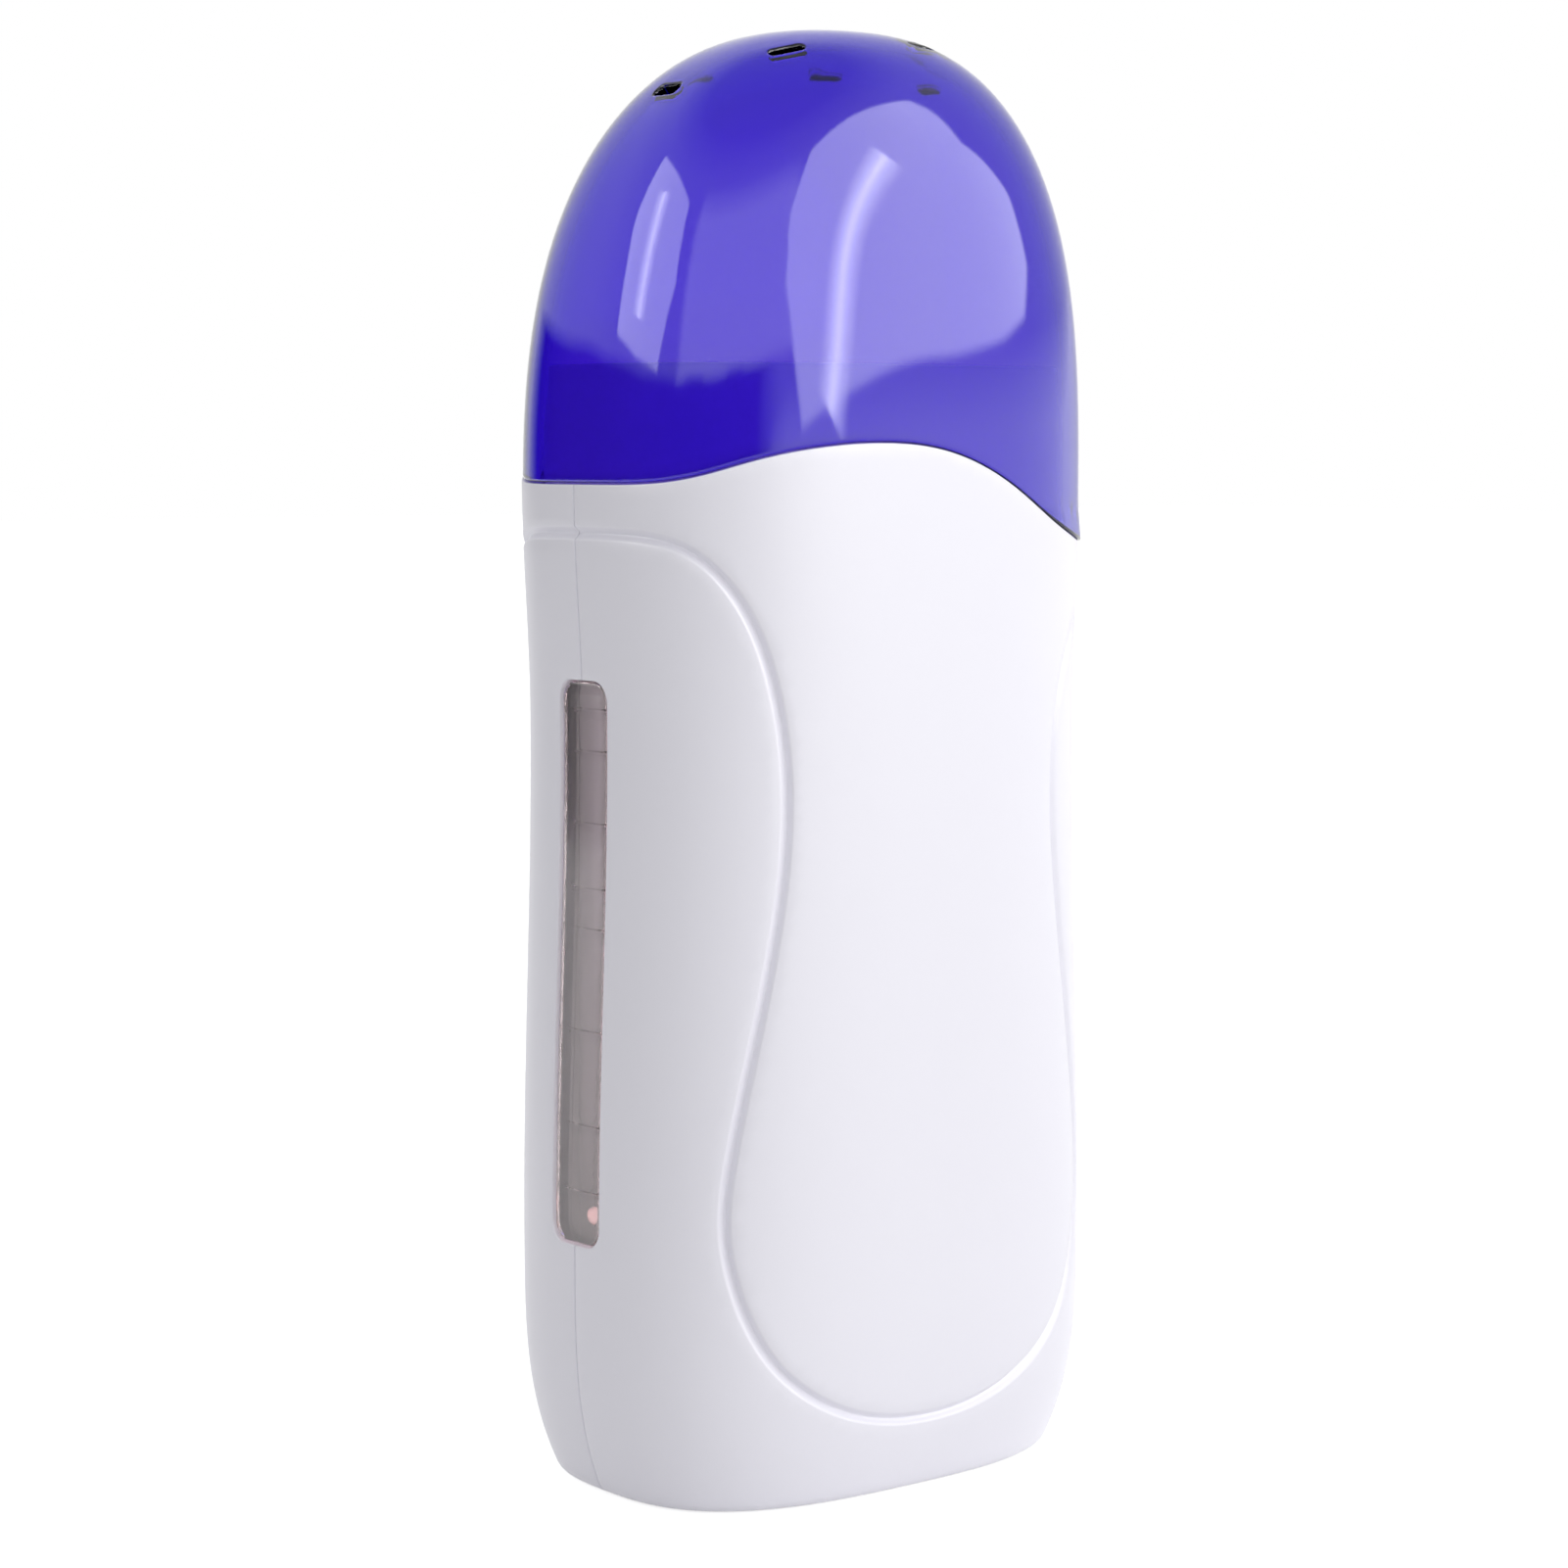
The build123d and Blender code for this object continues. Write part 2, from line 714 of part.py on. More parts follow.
# each electrode has a tab at its side, the inner one at the bottom and the outer one at the top
with BuildPart() as heater_electrodes:
    for face, side, end in ((electrode_face, -1, -1), (outer_electrode_face, 1, 1)):
        with BuildSketch(on_rear(face)):
            with Locations((stack_shift, plate_level)):
                Rectangle(stone_width, stack_height)
            with Locations((stack_shift + side * stone_width / 2, plate_level + end * stone_pitch / 2)):
                Rectangle(2 * electrode_tab, electrode_tab)
        extrude(amount=-electrode_wall)
save(heater_electrodes, "heater_electrodes")

with BuildPart() as ptc_stones:
    with BuildSketch(on_rear(stone_face)):
        with Locations((stack_shift, plate_level)):
            with GridLocations(0, stone_pitch, 1, 2):
                Rectangle(stone_width, stone_height)
    extrude(amount=-stone_wall)
save(ptc_stones, "ptc_stones")

# spring-steel bridge: feet on the bosses, ramps, and a flat that bears on the stack
foot_outer = clamp_screw_levels[1] + clamp_foot / 2
foot_inner = clamp_screw_levels[1] - clamp_foot / 2
flat_end = foot_inner - clamp_run
bridge = [
    (rim_face, foot_outer - plate_level),
    (rim_face, foot_inner - plate_level),
    (clamp_face, flat_end - plate_level),
]
bridge += [(y, -z) for y, z in reversed(bridge)]
bridge_back = [(y + clamp_wall, z) for y, z in reversed(bridge)]
with BuildPart() as heater_clamp:
    with BuildSketch(Plane.YZ.offset(stack_shift - clamp_width / 2)):
        with BuildLine():
            outline = [(y, z + plate_level) for y, z in bridge + bridge_back]
            Polyline(*outline, close=True)
        make_face()
    extrude(amount=clamp_width)
    with BuildSketch(on_rear(rim_face)):
        with Locations(*clamp_screw_spots):
            Circle(clamp_screw_radius + shank_gap)
    extrude(amount=-clamp_wall, mode=Mode.SUBTRACT)
save(heater_clamp, "heater_clamp")


def screws(spots, seat, length, shank, head_radius, head):
    """Pan-head screws driven towards -Y, their heads seated at y = seat."""
    with BuildPart() as piece:
        with BuildSketch(on_rear(seat)):
            with Locations(*spots):
                Circle(shank)
        extrude(amount=length)
        with BuildSketch(on_rear(seat)):
            with Locations(*spots):
                Circle(head_radius)
        extrude(amount=-head)
        chamfer(piece.edges().filter_by(GeomType.CIRCLE).group_by(Axis.Y)[-1], head * head_bevel)
        with BuildSketch(on_rear(seat + head)):
            for spot in spots:
                with Locations(spot):
                    Rectangle(head_radius * cross_length, head * cross_width)
                    Rectangle(head * cross_width, head_radius * cross_length)
        extrude(amount=head * cross_depth, mode=Mode.SUBTRACT)
    return piece


clamp_screws = screws(
    clamp_screw_spots,
    rim_face + clamp_wall,
    clamp_screw_length,
    clamp_screw_radius,
    clamp_screw_head_radius,
    clamp_screw_head,
)
save(clamp_screws, "clamp_screws")

well_screws = screws(
    well_screw_spots,
    well_front + well_wall,
    well_screw_length - thread_gap,
    shell_screw_radius,
    shell_screw_head_radius,
    shell_screw_head,
)
save(well_screws, "well_screws")

shell_screws = screws(
    shell_screw_spots,
    shell_screw_seat,
    shell_screw_seat + shell_screw_bite,
    shell_screw_radius,
    shell_screw_head_radius,
    shell_screw_head,
)
save(shell_screws, "shell_screws")

# ---------------------------------------------------------------- thermostat and fuse

lead_y = rim_face + sleeve_radius
thermostat_top = thermostat_bottom + thermostat_height
with BuildPart() as thermostat:
    with BuildSketch(Plane.XY.offset(thermostat_bottom)):
        with Locations((guard_x, rim_face)):
            Rectangle(thermostat_width, thermostat_wall, align=(Align.CENTER, Align.MIN))
    extrude(amount=thermostat_height)
    fillet(thermostat.edges().filter_by(Axis.Z), thermostat_corner)
    with BuildSketch(Plane.XY.offset(thermostat_bottom - lead_length)):
        with Locations((guard_x, lead_y)):
            Circle(lead_radius)
    extrude(amount=thermostat_height + 2 * lead_length)
save(thermostat, "thermostat")

fuse_lead_bottom = thermostat_top + lead_length
fuse_bottom = fuse_lead_bottom + lead_length + (sleeve_height - fuse_height) / 2
fuse_lead_top = fuse_lead_bottom + sleeve_height + 2 * lead_length
with BuildPart() as thermal_fuse:
    with BuildSketch(Plane.XY.offset(fuse_bottom)):
        with Locations((guard_x, lead_y)):
            Circle(fuse_radius)
    extrude(amount=fuse_height)
    chamfer(thermal_fuse.edges().filter_by(GeomType.CIRCLE), fuse_bevel)
    with BuildSketch(Plane.XY.offset(fuse_lead_bottom)):
        with Locations((guard_x, lead_y)):
            Circle(lead_radius)
    extrude(amount=fuse_lead_top - fuse_lead_bottom)
save(thermal_fuse, "thermal_fuse")

with BuildPart() as fuse_sleeve:
    with BuildSketch(Plane.XY.offset(fuse_lead_bottom + lead_length)):
        with Locations((guard_x, lead_y)):
            Circle(sleeve_radius)
            Circle(sleeve_bore, mode=Mode.SUBTRACT)
    extrude(amount=sleeve_height)
save(fuse_sleeve, "fuse_sleeve")

# ---------------------------------------------------------------- indicator lamp

board_gap = 0.1
board_face = -(well_side + board_gap + led_board_wall)
window_back = body_half_width(led_level) - shell_wall - window_flange_wall
led_height = window_back + board_face - led_gap
board_centre_level = led_level + led_board_head - led_board_height / 2
resistor_level = board_centre_level - led_board_height / 2 + resistor_foot

with BuildPart() as led_board:
    with BuildSketch(Plane.YZ.offset(board_face)):
        with Locations((0, board_centre_level)):
            Rectangle(led_board_width, led_board_height)
    extrude(amount=led_board_wall)
save(led_board, "led_board")

with BuildPart() as indicator_led:
    with BuildSketch(Plane.YZ.offset(board_face)):
        with Locations((0, led_level)):
            Circle(led_radius)
    extrude(amount=-led_height)
    tip_rounding = min(led_height * led_rounding_share, led_radius - led_tip_radius)
    fillet(indicator_led.edges().group_by(Axis.X)[0], tip_rounding)
    with BuildSketch(Plane.YZ.offset(board_face)):
        with Locations((0, led_level)):
            Circle(led_flange_radius)
    extrude(amount=-led_height * led_flange_share)
save(indicator_led, "indicator_led")

resistor_x = board_face - resistor_radius
with BuildPart() as led_resistor:
    with BuildSketch(Plane.XZ.offset(-resistor_length / 2)):
        with Locations((resistor_x, resistor_level)):
            Circle(resistor_radius)
    extrude(amount=resistor_length)
    chamfer(led_resistor.edges().filter_by(GeomType.CIRCLE), resistor_bevel)
save(led_resistor, "led_resistor")

# ---------------------------------------------------------------- mains inlet

inlet_top = inlet_recess + inlet_height
cavity_top = inlet_recess + cavity_height
pin_spots = [(-pin_spacing / 2, 0), (pin_spacing / 2, 0)]

with BuildPart() as inlet_socket:
    with BuildSketch(Plane.XY.offset(inlet_recess)):
        RectangleRounded(inlet_width, inlet_depth, inlet_corner - inlet_gap)
    extrude(amount=inlet_height)
    with BuildSketch(Plane.XY.offset(base_wall)):
        RectangleRounded(inlet_width + 2 * inlet_flange, inlet_depth + 2 * inlet_flange, inlet_corner)
    extrude(amount=inlet_flange_wall)
    # figure-eight cavity
    with BuildSketch(Plane.XY.offset(inlet_recess)):
        with Locations((-cavity_spread, 0), (cavity_spread, 0)):
            Circle(cavity_radius)
        Rectangle(2 * cavity_spread, cavity_waist)
    extrude(amount=cavity_height, mode=Mode.SUBTRACT)
    with BuildSketch(Plane.XY.offset(inlet_recess)):
        with Locations(*pin_spots):
            Circle(pin_radius + pin_bore_gap)
    extrude(amount=inlet_height, mode=Mode.SUBTRACT)
save(inlet_socket, "inlet_socket")

with BuildPart() as inlet_pins:
    with BuildSketch(Plane.XY.offset(inlet_recess + pin_setback)):
        with Locations(*pin_spots):
            Circle(pin_radius)
    extrude(amount=inlet_height - pin_setback)
    chamfer(inlet_pins.edges().group_by(Axis.Z)[0], pin_bevel)
    with BuildSketch(Plane.XY.offset(inlet_top)):
        with Locations(*pin_spots):
            Circle(pin_collar_radius)
    extrude(amount=pin_collar)
    with BuildSketch(Plane.XY.offset(inlet_top + pin_collar)):
        with Locations(*pin_spots):
            Circle(pin_tail_radius)
    extrude(amount=pin_tail)
save(inlet_pins, "inlet_pins")

# ---------------------------------------------------------------- wires


def wires(radius, bend, *routes):
    """Round wires along straight runs joined by tangent arcs."""
    with BuildPart() as piece:
        for route in routes:
            with BuildLine() as path:
                FilletPolyline(*route, radius=bend)
            with BuildSketch(path.line ^ 0):
                Circle(radius)
            sweep()
    return piece


pin_x = pin_spacing / 2
pin_top = inlet_top + pin_collar + pin_tail
crossing_level = well_bottom - 2 * wire_bend  # the wires cross to the back here

# live: from its pin to the thermostat, and from the fuse to the outer electrode
live_wire = wires(
    wire_radius,
    wire_bend,
    [
        (pin_x, 0, pin_top),
        (pin_x, 0, crossing_level),
        (guard_x, lead_y, crossing_level + wire_bend / 2),
        (guard_x, lead_y, thermostat_bottom - lead_length),
    ],
)
save(live_wire, "live_wire")

outer_tab_x = stack_shift + stone_width / 2 + electrode_tab / 2
outer_tab_top = plate_level + (stone_pitch + electrode_tab) / 2
outer_tab_y = outer_electrode_face + electrode_wall / 2
link_top = fuse_lead_top + 2 * wire_bend
link_wire = wires(
    wire_radius,
    link_wire_bend,
    [
        (guard_x, lead_y, fuse_lead_top),
        (guard_x, lead_y, link_top),
        (outer_tab_x, outer_tab_y, link_top),
        (outer_tab_x, outer_tab_y, outer_tab_top),
    ],
)
save(link_wire, "link_wire")

# neutral: from its pin to the inner electrode's tab, on the side away from the stack
inner_tab_x = stack_shift - stone_width / 2 - electrode_tab / 2
inner_tab_y = rim_face + wire_radius + plate_gap
inner_tab_bottom = plate_level - (stone_pitch + electrode_tab) / 2
neutral_wire = wires(
    wire_radius,
    wire_bend,
    [
        (-pin_x, 0, pin_top),
        (-pin_x, 0, crossing_level),
        (inner_tab_x, inner_tab_y, crossing_level + wire_bend / 2),
        (inner_tab_x, inner_tab_y, inner_tab_bottom),
    ],
)
save(neutral_wire, "neutral_wire")

# lamp: from the lower edge of its board to the sides of both pins' tails
board_x = board_face + led_board_wall / 2
board_bottom = board_centre_level - led_board_height / 2
tail_level = pin_top - pin_tail / 2
beside_tail = pin_tail_radius + lamp_wire_radius + thread_gap
led_wires = wires(
    lamp_wire_radius,
    lamp_wire_bend,
    [
        (board_x, 0, board_bottom),
        (board_x, 0, lamp_wire_level),
        (-pin_x - beside_tail, 0, lamp_wire_level),
        (-pin_x - beside_tail, 0, tail_level),
    ],
    [
        (board_x, -lamp_wire_spread, board_bottom),
        (board_x, -lamp_wire_spread, lamp_wire_level),
        (pin_x, -beside_tail, lamp_wire_level),
        (pin_x, -beside_tail, tail_level),
    ],
)
save(led_wires, "led_wires")
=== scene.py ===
from functools import partial
from math import ceil, cos, log, pi, radians, sin, tau
from types import SimpleNamespace

import bmesh
import bpy
import numpy as np
from mathutils import Matrix, Vector
from mathutils.geometry import delaunay_2d_cdt
from mathutils.kdtree import KDTree


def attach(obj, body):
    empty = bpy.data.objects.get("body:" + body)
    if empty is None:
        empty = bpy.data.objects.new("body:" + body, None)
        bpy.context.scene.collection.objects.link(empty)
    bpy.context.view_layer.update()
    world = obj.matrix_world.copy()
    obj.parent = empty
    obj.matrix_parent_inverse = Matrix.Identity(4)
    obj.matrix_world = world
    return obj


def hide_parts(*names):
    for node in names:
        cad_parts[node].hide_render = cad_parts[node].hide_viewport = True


bl_info = {
    "name": "Roll-on wax heater",
    "version": (1, 0, 0),
    "blender": (4, 5, 0),
    "location": "3D View > Sidebar > Wax heater",
    "description": "Builds the moulded surfaces, finishes and studio of a roll-on wax heater",
    "category": "Add Mesh",
}

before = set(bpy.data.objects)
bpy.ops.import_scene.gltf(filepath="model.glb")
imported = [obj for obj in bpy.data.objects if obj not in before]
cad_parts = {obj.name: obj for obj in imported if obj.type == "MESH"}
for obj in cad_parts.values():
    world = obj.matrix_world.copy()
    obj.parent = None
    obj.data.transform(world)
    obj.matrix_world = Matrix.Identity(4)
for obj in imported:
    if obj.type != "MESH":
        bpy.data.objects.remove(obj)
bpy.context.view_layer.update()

WELD = 2e-6  # points nearer than this become one
SMOOTH_UP_TO = radians(32)
WEAR_SCALE = 40.0
GRAIN_SCALE = 2600.0
GRAIN_DEPTH = 0.00002

# ---- sizes and colours


def number(name, description, default, **more):
    return bpy.props.FloatProperty(name=name, description=description, default=default, **more)


def length(name, description, default):
    return number(name, description, default, unit="LENGTH", subtype="DISTANCE", precision=5)


def angle(name, description, default):
    return number(name, description, default, subtype="ANGLE")


def colour(name, description, default):
    return bpy.props.FloatVectorProperty(
        name=name, description=description, default=default, subtype="COLOR", min=0, max=1
    )


class BodySizes(bpy.types.PropertyGroup):
    """The moulded body, front and rear shells alike"""

    hip_half_width: length("Hip half width", "Half the width at the hip", 0.0379)
    hip_level: length("Hip level", "Height of the widest girth above the base", 0.032)
    waist_half_width: length("Waist half width", "Half the width at the waist", 0.0362)
    waist_level: length("Waist level", "Height of the waist above the base", 0.1)
    shoulder_half_width: length("Shoulder half width", "Half the width under the cap", 0.0374)
    shoulder_level: length("Shoulder level", "Height of the shoulder above the base", 0.131)
    half_depth: length("Half depth", "Half the depth from front to back", 0.0273)
    foot_tuck: length("Foot tuck", "How far the foot draws in below the hip", 0.0043)
    tuck_power: number("Tuck power", "How late the tuck begins; larger is later", 3.4)
    foot_rounding: length("Foot rounding", "Radius at the very foot", 0.0012)
    girth_power: number("Girth power", "2 is an ellipse, larger is squarer", 2.85)
    wall: length("Wall", "Thickness of the shells", 0.0019)
    base_wall: length("Base wall", "Thickness of the base", 0.0025)
    lip: length("Lip radius", "Rounding of the edges of the shells", 0.0002)
    seam: length("Half seam", "Half the gap between the two shells", 0.00007)


class EdgeSizes(bpy.types.PropertyGroup):
    """The waved line on which the cap meets the body"""

    left_level: length("Left level", "Height of the line on the left narrow side", 0.131)
    crest_level: length("Crest level", "Greatest height of the line", 0.1362)
    right_level: length("Right level", "Height of the line on the right narrow side", 0.1225)
    crest_x: length("Crest place", "Where the crest is, from the middle", -0.008)
    gap: length("Gap", "Between the line and the cap", 0.0002)


class GrooveSizes(bpy.types.PropertyGroup):
    """The pressed groove that frames the front and rear panels"""

    width: length("Width", "From brim to brim", 0.00195)
    depth: length("Depth", "At the bottom of the groove", 0.0008)
    margin: length("Margin", "Below the cap line on the narrow sides", 0.0062)
    waist_level: length("Waist level", "Where the groove runs nearest to the middle", 0.092)
    foot_level: length("Foot level", "Lowest point of the groove", 0.0102)


class CapSizes(bpy.types.PropertyGroup):
    """The domed cap"""

    height: length("Height", "Height of the crown above the base", 0.19)
    wall: length("Wall", "Thickness of the cap", 0.002)
    dome_level: length("Dome level", "Where the skirt ends and the dome begins", 0.128)
    half_width: length("Half width", "Half the width at the dome level", 0.0374)
    half_depth: length("Half depth", "Half the depth at the dome level", 0.027)
    flare: length("Flare", "How far the skirt opens towards its lowest edge", 0.0003)
    skirt_foot: length("Skirt foot", "Height of the lowest edge", 0.124)
    lean: length("Lean", "How far the crown stands off centre", 0.0044)
    left_power: number("Left power", "Roundness of the dome's left side", 2.8)
    right_power: number("Right power", "Roundness of the dome's right side", 2.6)
    depth_power: number("Depth power", "Roundness of the dome from front to back", 2.85)
    girth_power: number("Girth power", "Squareness of the skirt's girth", 2.85)
    crown_power: number("Crown power", "Squareness of the girth at the crown", 2.2)
    lip: length("Lip radius", "Rounding of the lower edge and of the vents", 0.0003)
    vent_length: length("Vent length", "Overall length of a vent slot", 0.0048)
    vent_width: length("Vent width", "Width of a vent slot", 0.0013)
    vent_ring_half_width: length("Vent ring half width", "Half width of the ring of vents", 0.0224)
    vent_ring_half_depth: length("Vent ring half depth", "Half depth of the ring of vents", 0.012)
    vent_count: bpy.props.IntProperty(
        name="Vents", description="Number of vent slots", default=6, min=1
    )


class WindowSizes(bpy.types.PropertyGroup):
    """The clear bars in the narrow sides"""

    width: length("Width", "Width of the slot", 0.0102)
    bottom: length("Bottom", "Height of the slot's lower end", 0.0334)
    height: length("Height", "Height of the slot", 0.0726)
    corner: length("Corner", "Corner radius of the slot", 0.0026)
    recess: length("Recess", "How far the bar stands back from the shells", 0.0003)
    gap: length("Gap", "Between the bar and the slot", 0.00012)
    edge: length("Edge radius", "Rounding of the bar's edge", 0.0005)
    flange: length("Flange", "How far the flange reaches past the bar", 0.002)
    flange_wall: length("Flange wall", "Thickness of the flange", 0.0014)
    mark_height: length("Mark height", "Depth of a level mark on the inner face", 0.0001)
    mark_width: length("Mark width", "Width of a level mark", 0.0009)


class Finishes(bpy.types.PropertyGroup):
    """Colours of the materials"""

    body: colour("Body", "White of the shells", (0.855, 0.845, 0.915))
    well: colour("Well", "White of the well and its neck", (0.78, 0.77, 0.83))
    cap: colour("Cap", "Tint of one wall of the cap", (0.26, 0.15, 0.79))
    window: colour("Window", "Tint of the windows", (1.0, 0.93, 0.94))
    socket: colour("Socket", "Black of the mains inlet", (0.02, 0.02, 0.022))
    lamp: colour("Lamp", "Resin of the indicator lamp", (0.88, 0.55, 0.53))
    laminate: colour("Laminate", "Lamp board", (0.78, 0.78, 0.74))


class Studio(bpy.types.PropertyGroup):
    """Backdrop, lamps and camera"""

    camera_distance: length("Camera distance", "From the object's axis, on the level", 0.491)
    camera_height: length("Camera height", "Above the base", 0.1353)
    camera_turn: angle("Camera turn", "From the front towards the left", radians(38.6))
    camera_pitch: angle("Camera pitch", "Downwards", radians(5.18))
    focal_length: number("Focal length", "In millimetres, on a 36 mm frame", 84.68)
    shift: number("Shift", "Sideways shift of the frame", -0.013)
    ambient: number("Ambient", "Strength of the sky for diffuse light", 0.62)
    lamp_distance: length("Lamp distance", "From the object to the soft box", 1.1)


class HeaterSettings(bpy.types.PropertyGroup):
    """All sizes and colours"""

    body: bpy.props.PointerProperty(type=BodySizes)
    edge: bpy.props.PointerProperty(type=EdgeSizes)
    groove: bpy.props.PointerProperty(type=GrooveSizes)
    cap: bpy.props.PointerProperty(type=CapSizes)
    window: bpy.props.PointerProperty(type=WindowSizes)
    finish: bpy.props.PointerProperty(type=Finishes)
    studio: bpy.props.PointerProperty(type=Studio)


# ---- numbers that also build nodes


class Field:
    """A number in a node tree, which takes part in sums as a plain number does."""

    def __init__(self, tree, socket):
        self.tree, self.socket = tree, socket

    def combine(self, operation, *values):
        node = self.tree.nodes.new("ShaderNodeMath")
        node.operation = operation
        for slot, value in zip(node.inputs, values):
            if isinstance(value, Field):
                self.tree.links.new(value.socket, slot)
            else:
                slot.default_value = value
        return Field(self.tree, node.outputs[0])

    def __add__(self, other):
        return self.combine("ADD", self, other)

    def __sub__(self, other):
        return self.combine("SUBTRACT", self, other)

    def __mul__(self, other):
        return self.combine("MULTIPLY", self, other)

    def __truediv__(self, other):
        return self.combine("DIVIDE", self, other)

    def __rsub__(self, other):
        return self.combine("SUBTRACT", other, self)

    def __rtruediv__(self, other):
        return self.combine("DIVIDE", other, self)

    def __neg__(self):
        return self * -1


def either(operation, plain):
    """A function of numbers or of fields."""

    def act(*values):
        field = next((value for value in values if isinstance(value, Field)), None)
        return plain(*values) if field is None else field.combine(operation, *values)

    return act


sine, cosine = either("SINE", np.sin), either("COSINE", np.cos)
power, size_of = either("POWER", np.power), either("ABSOLUTE", np.abs)
larger, smaller = either("MAXIMUM", np.maximum), either("MINIMUM", np.minimum)
above = either("GREATER_THAN", np.greater)


def ease(share):
    """Half a cosine wave: 0 to 1 with level ends."""
    return (1 - cosine(smaller(larger(share, 0), 1) * pi)) * 0.5


# ---- laws of the two surfaces


def girth(turn, left, right, depth, squareness):
    """A point of a superelliptic girth; a turn of 0 is +X and of a quarter is +Y."""
    c, s = cosine(turn), sine(turn)
    reach = power(power(size_of(c), squareness) + power(size_of(s), squareness), -1 / squareness)
    width = left + above(c, 0) * (right - left)
    return width * c * reach, depth * s * reach


def body_law(size, turn, level, inset):
    """The body: wide at the hip, drawn in at the waist, tucked in and rounded at the foot."""
    below = larger(1 - level / size.hip_level, 0)
    near_foot = larger(size.foot_rounding - level, 0)
    rounding = size.foot_rounding - power(
        larger(size.foot_rounding * size.foot_rounding - near_foot * near_foot, 0), 0.5
    )
    draw = size.foot_tuck * power(below, size.tuck_power) + rounding + inset
    to_waist = ease((level - size.hip_level) / (size.waist_level - size.hip_level))
    to_shoulder = ease((level - size.waist_level) / (size.shoulder_level - size.waist_level))
    half = size.hip_half_width + to_waist * (size.waist_half_width - size.hip_half_width)
    half = half + to_shoulder * (size.shoulder_half_width - size.waist_half_width) - draw
    x, y = girth(turn, half, half, size.half_depth - draw, size.girth_power)
    return x, y, level


def cap_law(size, turn, climb, inset):
    """The cap: climb is a height below the dome, and an angle times the dome's rise above it."""
    rise = size.height - size.dome_level
    up = sine(smaller(larger(climb / rise, 0), pi / 2))
    flare = size.flare * larger(-climb, 0) / (size.dome_level - size.skirt_foot)

    def dwindle(squareness):
        return power(larger(1 - power(up, squareness), 0), 1 / squareness)

    left = (size.half_width - inset) * dwindle(size.left_power) + flare
    right = (size.half_width - inset) * dwindle(size.right_power) + flare
    depth = (size.half_depth - inset) * dwindle(size.depth_power) + flare
    squareness = size.girth_power + (size.crown_power - size.girth_power) * up * up * up
    x, y = girth(turn, left, right, depth, squareness)
    return x + size.lean * up * up, y, size.dome_level + smaller(climb, 0) + (rise - inset) * up


def measures(group):
    """Names of the float sizes of a group, with their values."""
    return {
        key: getattr(group, key)
        for key, kind in group.bl_rna.properties.items()
        if kind.type == "FLOAT"
    }


def wire(tree, *pairs):
    """Links outputs to inputs, pair by pair."""
    for output, slot in pairs:
        tree.links.new(output, slot)


def law_tree(name, law, names):
    """A node tree that lays a chart over a surface: x is the turn, y the way up and z the inset."""
    tree = bpy.data.node_groups.new(name, "GeometryNodeTree")
    sockets = [("Geometry", "INPUT", "Geometry"), *((size, "INPUT", "Float") for size in names)]
    sockets += [("Material", "INPUT", "Material"), ("Geometry", "OUTPUT", "Geometry")]
    for title, side, kind in sockets:
        tree.interface.new_socket(title, in_out=side, socket_type=f"NodeSocket{kind}")
    new = tree.nodes.new
    start, end = new("NodeGroupInput"), new("NodeGroupOutput")
    place, split = new("GeometryNodeInputPosition"), new("ShaderNodeSeparateXYZ")
    join, move = new("ShaderNodeCombineXYZ"), new("GeometryNodeSetPosition")
    realize, paint = new("GeometryNodeRealizeInstances"), new("GeometryNodeSetMaterial")
    wire(tree, (place.outputs[0], split.inputs[0]))
    size = SimpleNamespace(**{key: Field(tree, start.outputs[key]) for key in names})
    placed = law(size, *(Field(tree, out) for out in split.outputs))
    wire(tree, *((value.socket, slot) for value, slot in zip(placed, join.inputs)))
    wire(
        tree,
        (start.outputs["Geometry"], move.inputs["Geometry"]),
        (join.outputs[0], move.inputs["Position"]),
        (move.outputs[0], realize.inputs[0]),
        (realize.outputs[0], paint.inputs["Geometry"]),
        (start.outputs["Material"], paint.inputs["Material"]),
        (paint.outputs[0], end.inputs[0]),
    )
    return tree


def stand(name, data):
    """A new object in the scene."""
    piece = bpy.data.objects.new(name, data)
    bpy.context.scene.collection.objects.link(piece)
    return piece


def apply_tree(mesh, tree, values):
    """The mesh as the tree makes it, with the values given to its named inputs."""
    carrier = stand(tree.name, mesh)
    modifier = carrier.modifiers.new(tree.name, "NODES")
    modifier.node_group = tree
    for item in tree.interface.items_tree:
        if item.in_out == "INPUT" and item.name in values:
            modifier[item.identifier] = values[item.name]
    shaped = carrier.evaluated_get(bpy.context.evaluated_depsgraph_get())
    result = bpy.data.meshes.new_from_object(shaped)
    carrier.modifiers.remove(modifier)
    bpy.data.objects.remove(carrier)
    return result


def laid_over(name, law, group, sheet):
    """A sheet of chart points as a mesh on the surface that follows the law."""
    sizes = measures(group)
    return apply_tree(sheet.mesh(name), law_tree(name, law, sizes), sizes)


# ---- curves and charts

CORNER_POINTS = 9
LEAST_SPACING = 0.62  # of the pitch, from a point inside an area to its edges and lines
LEAST_AREA = 1e-13
SAME_POINT = 1e-9


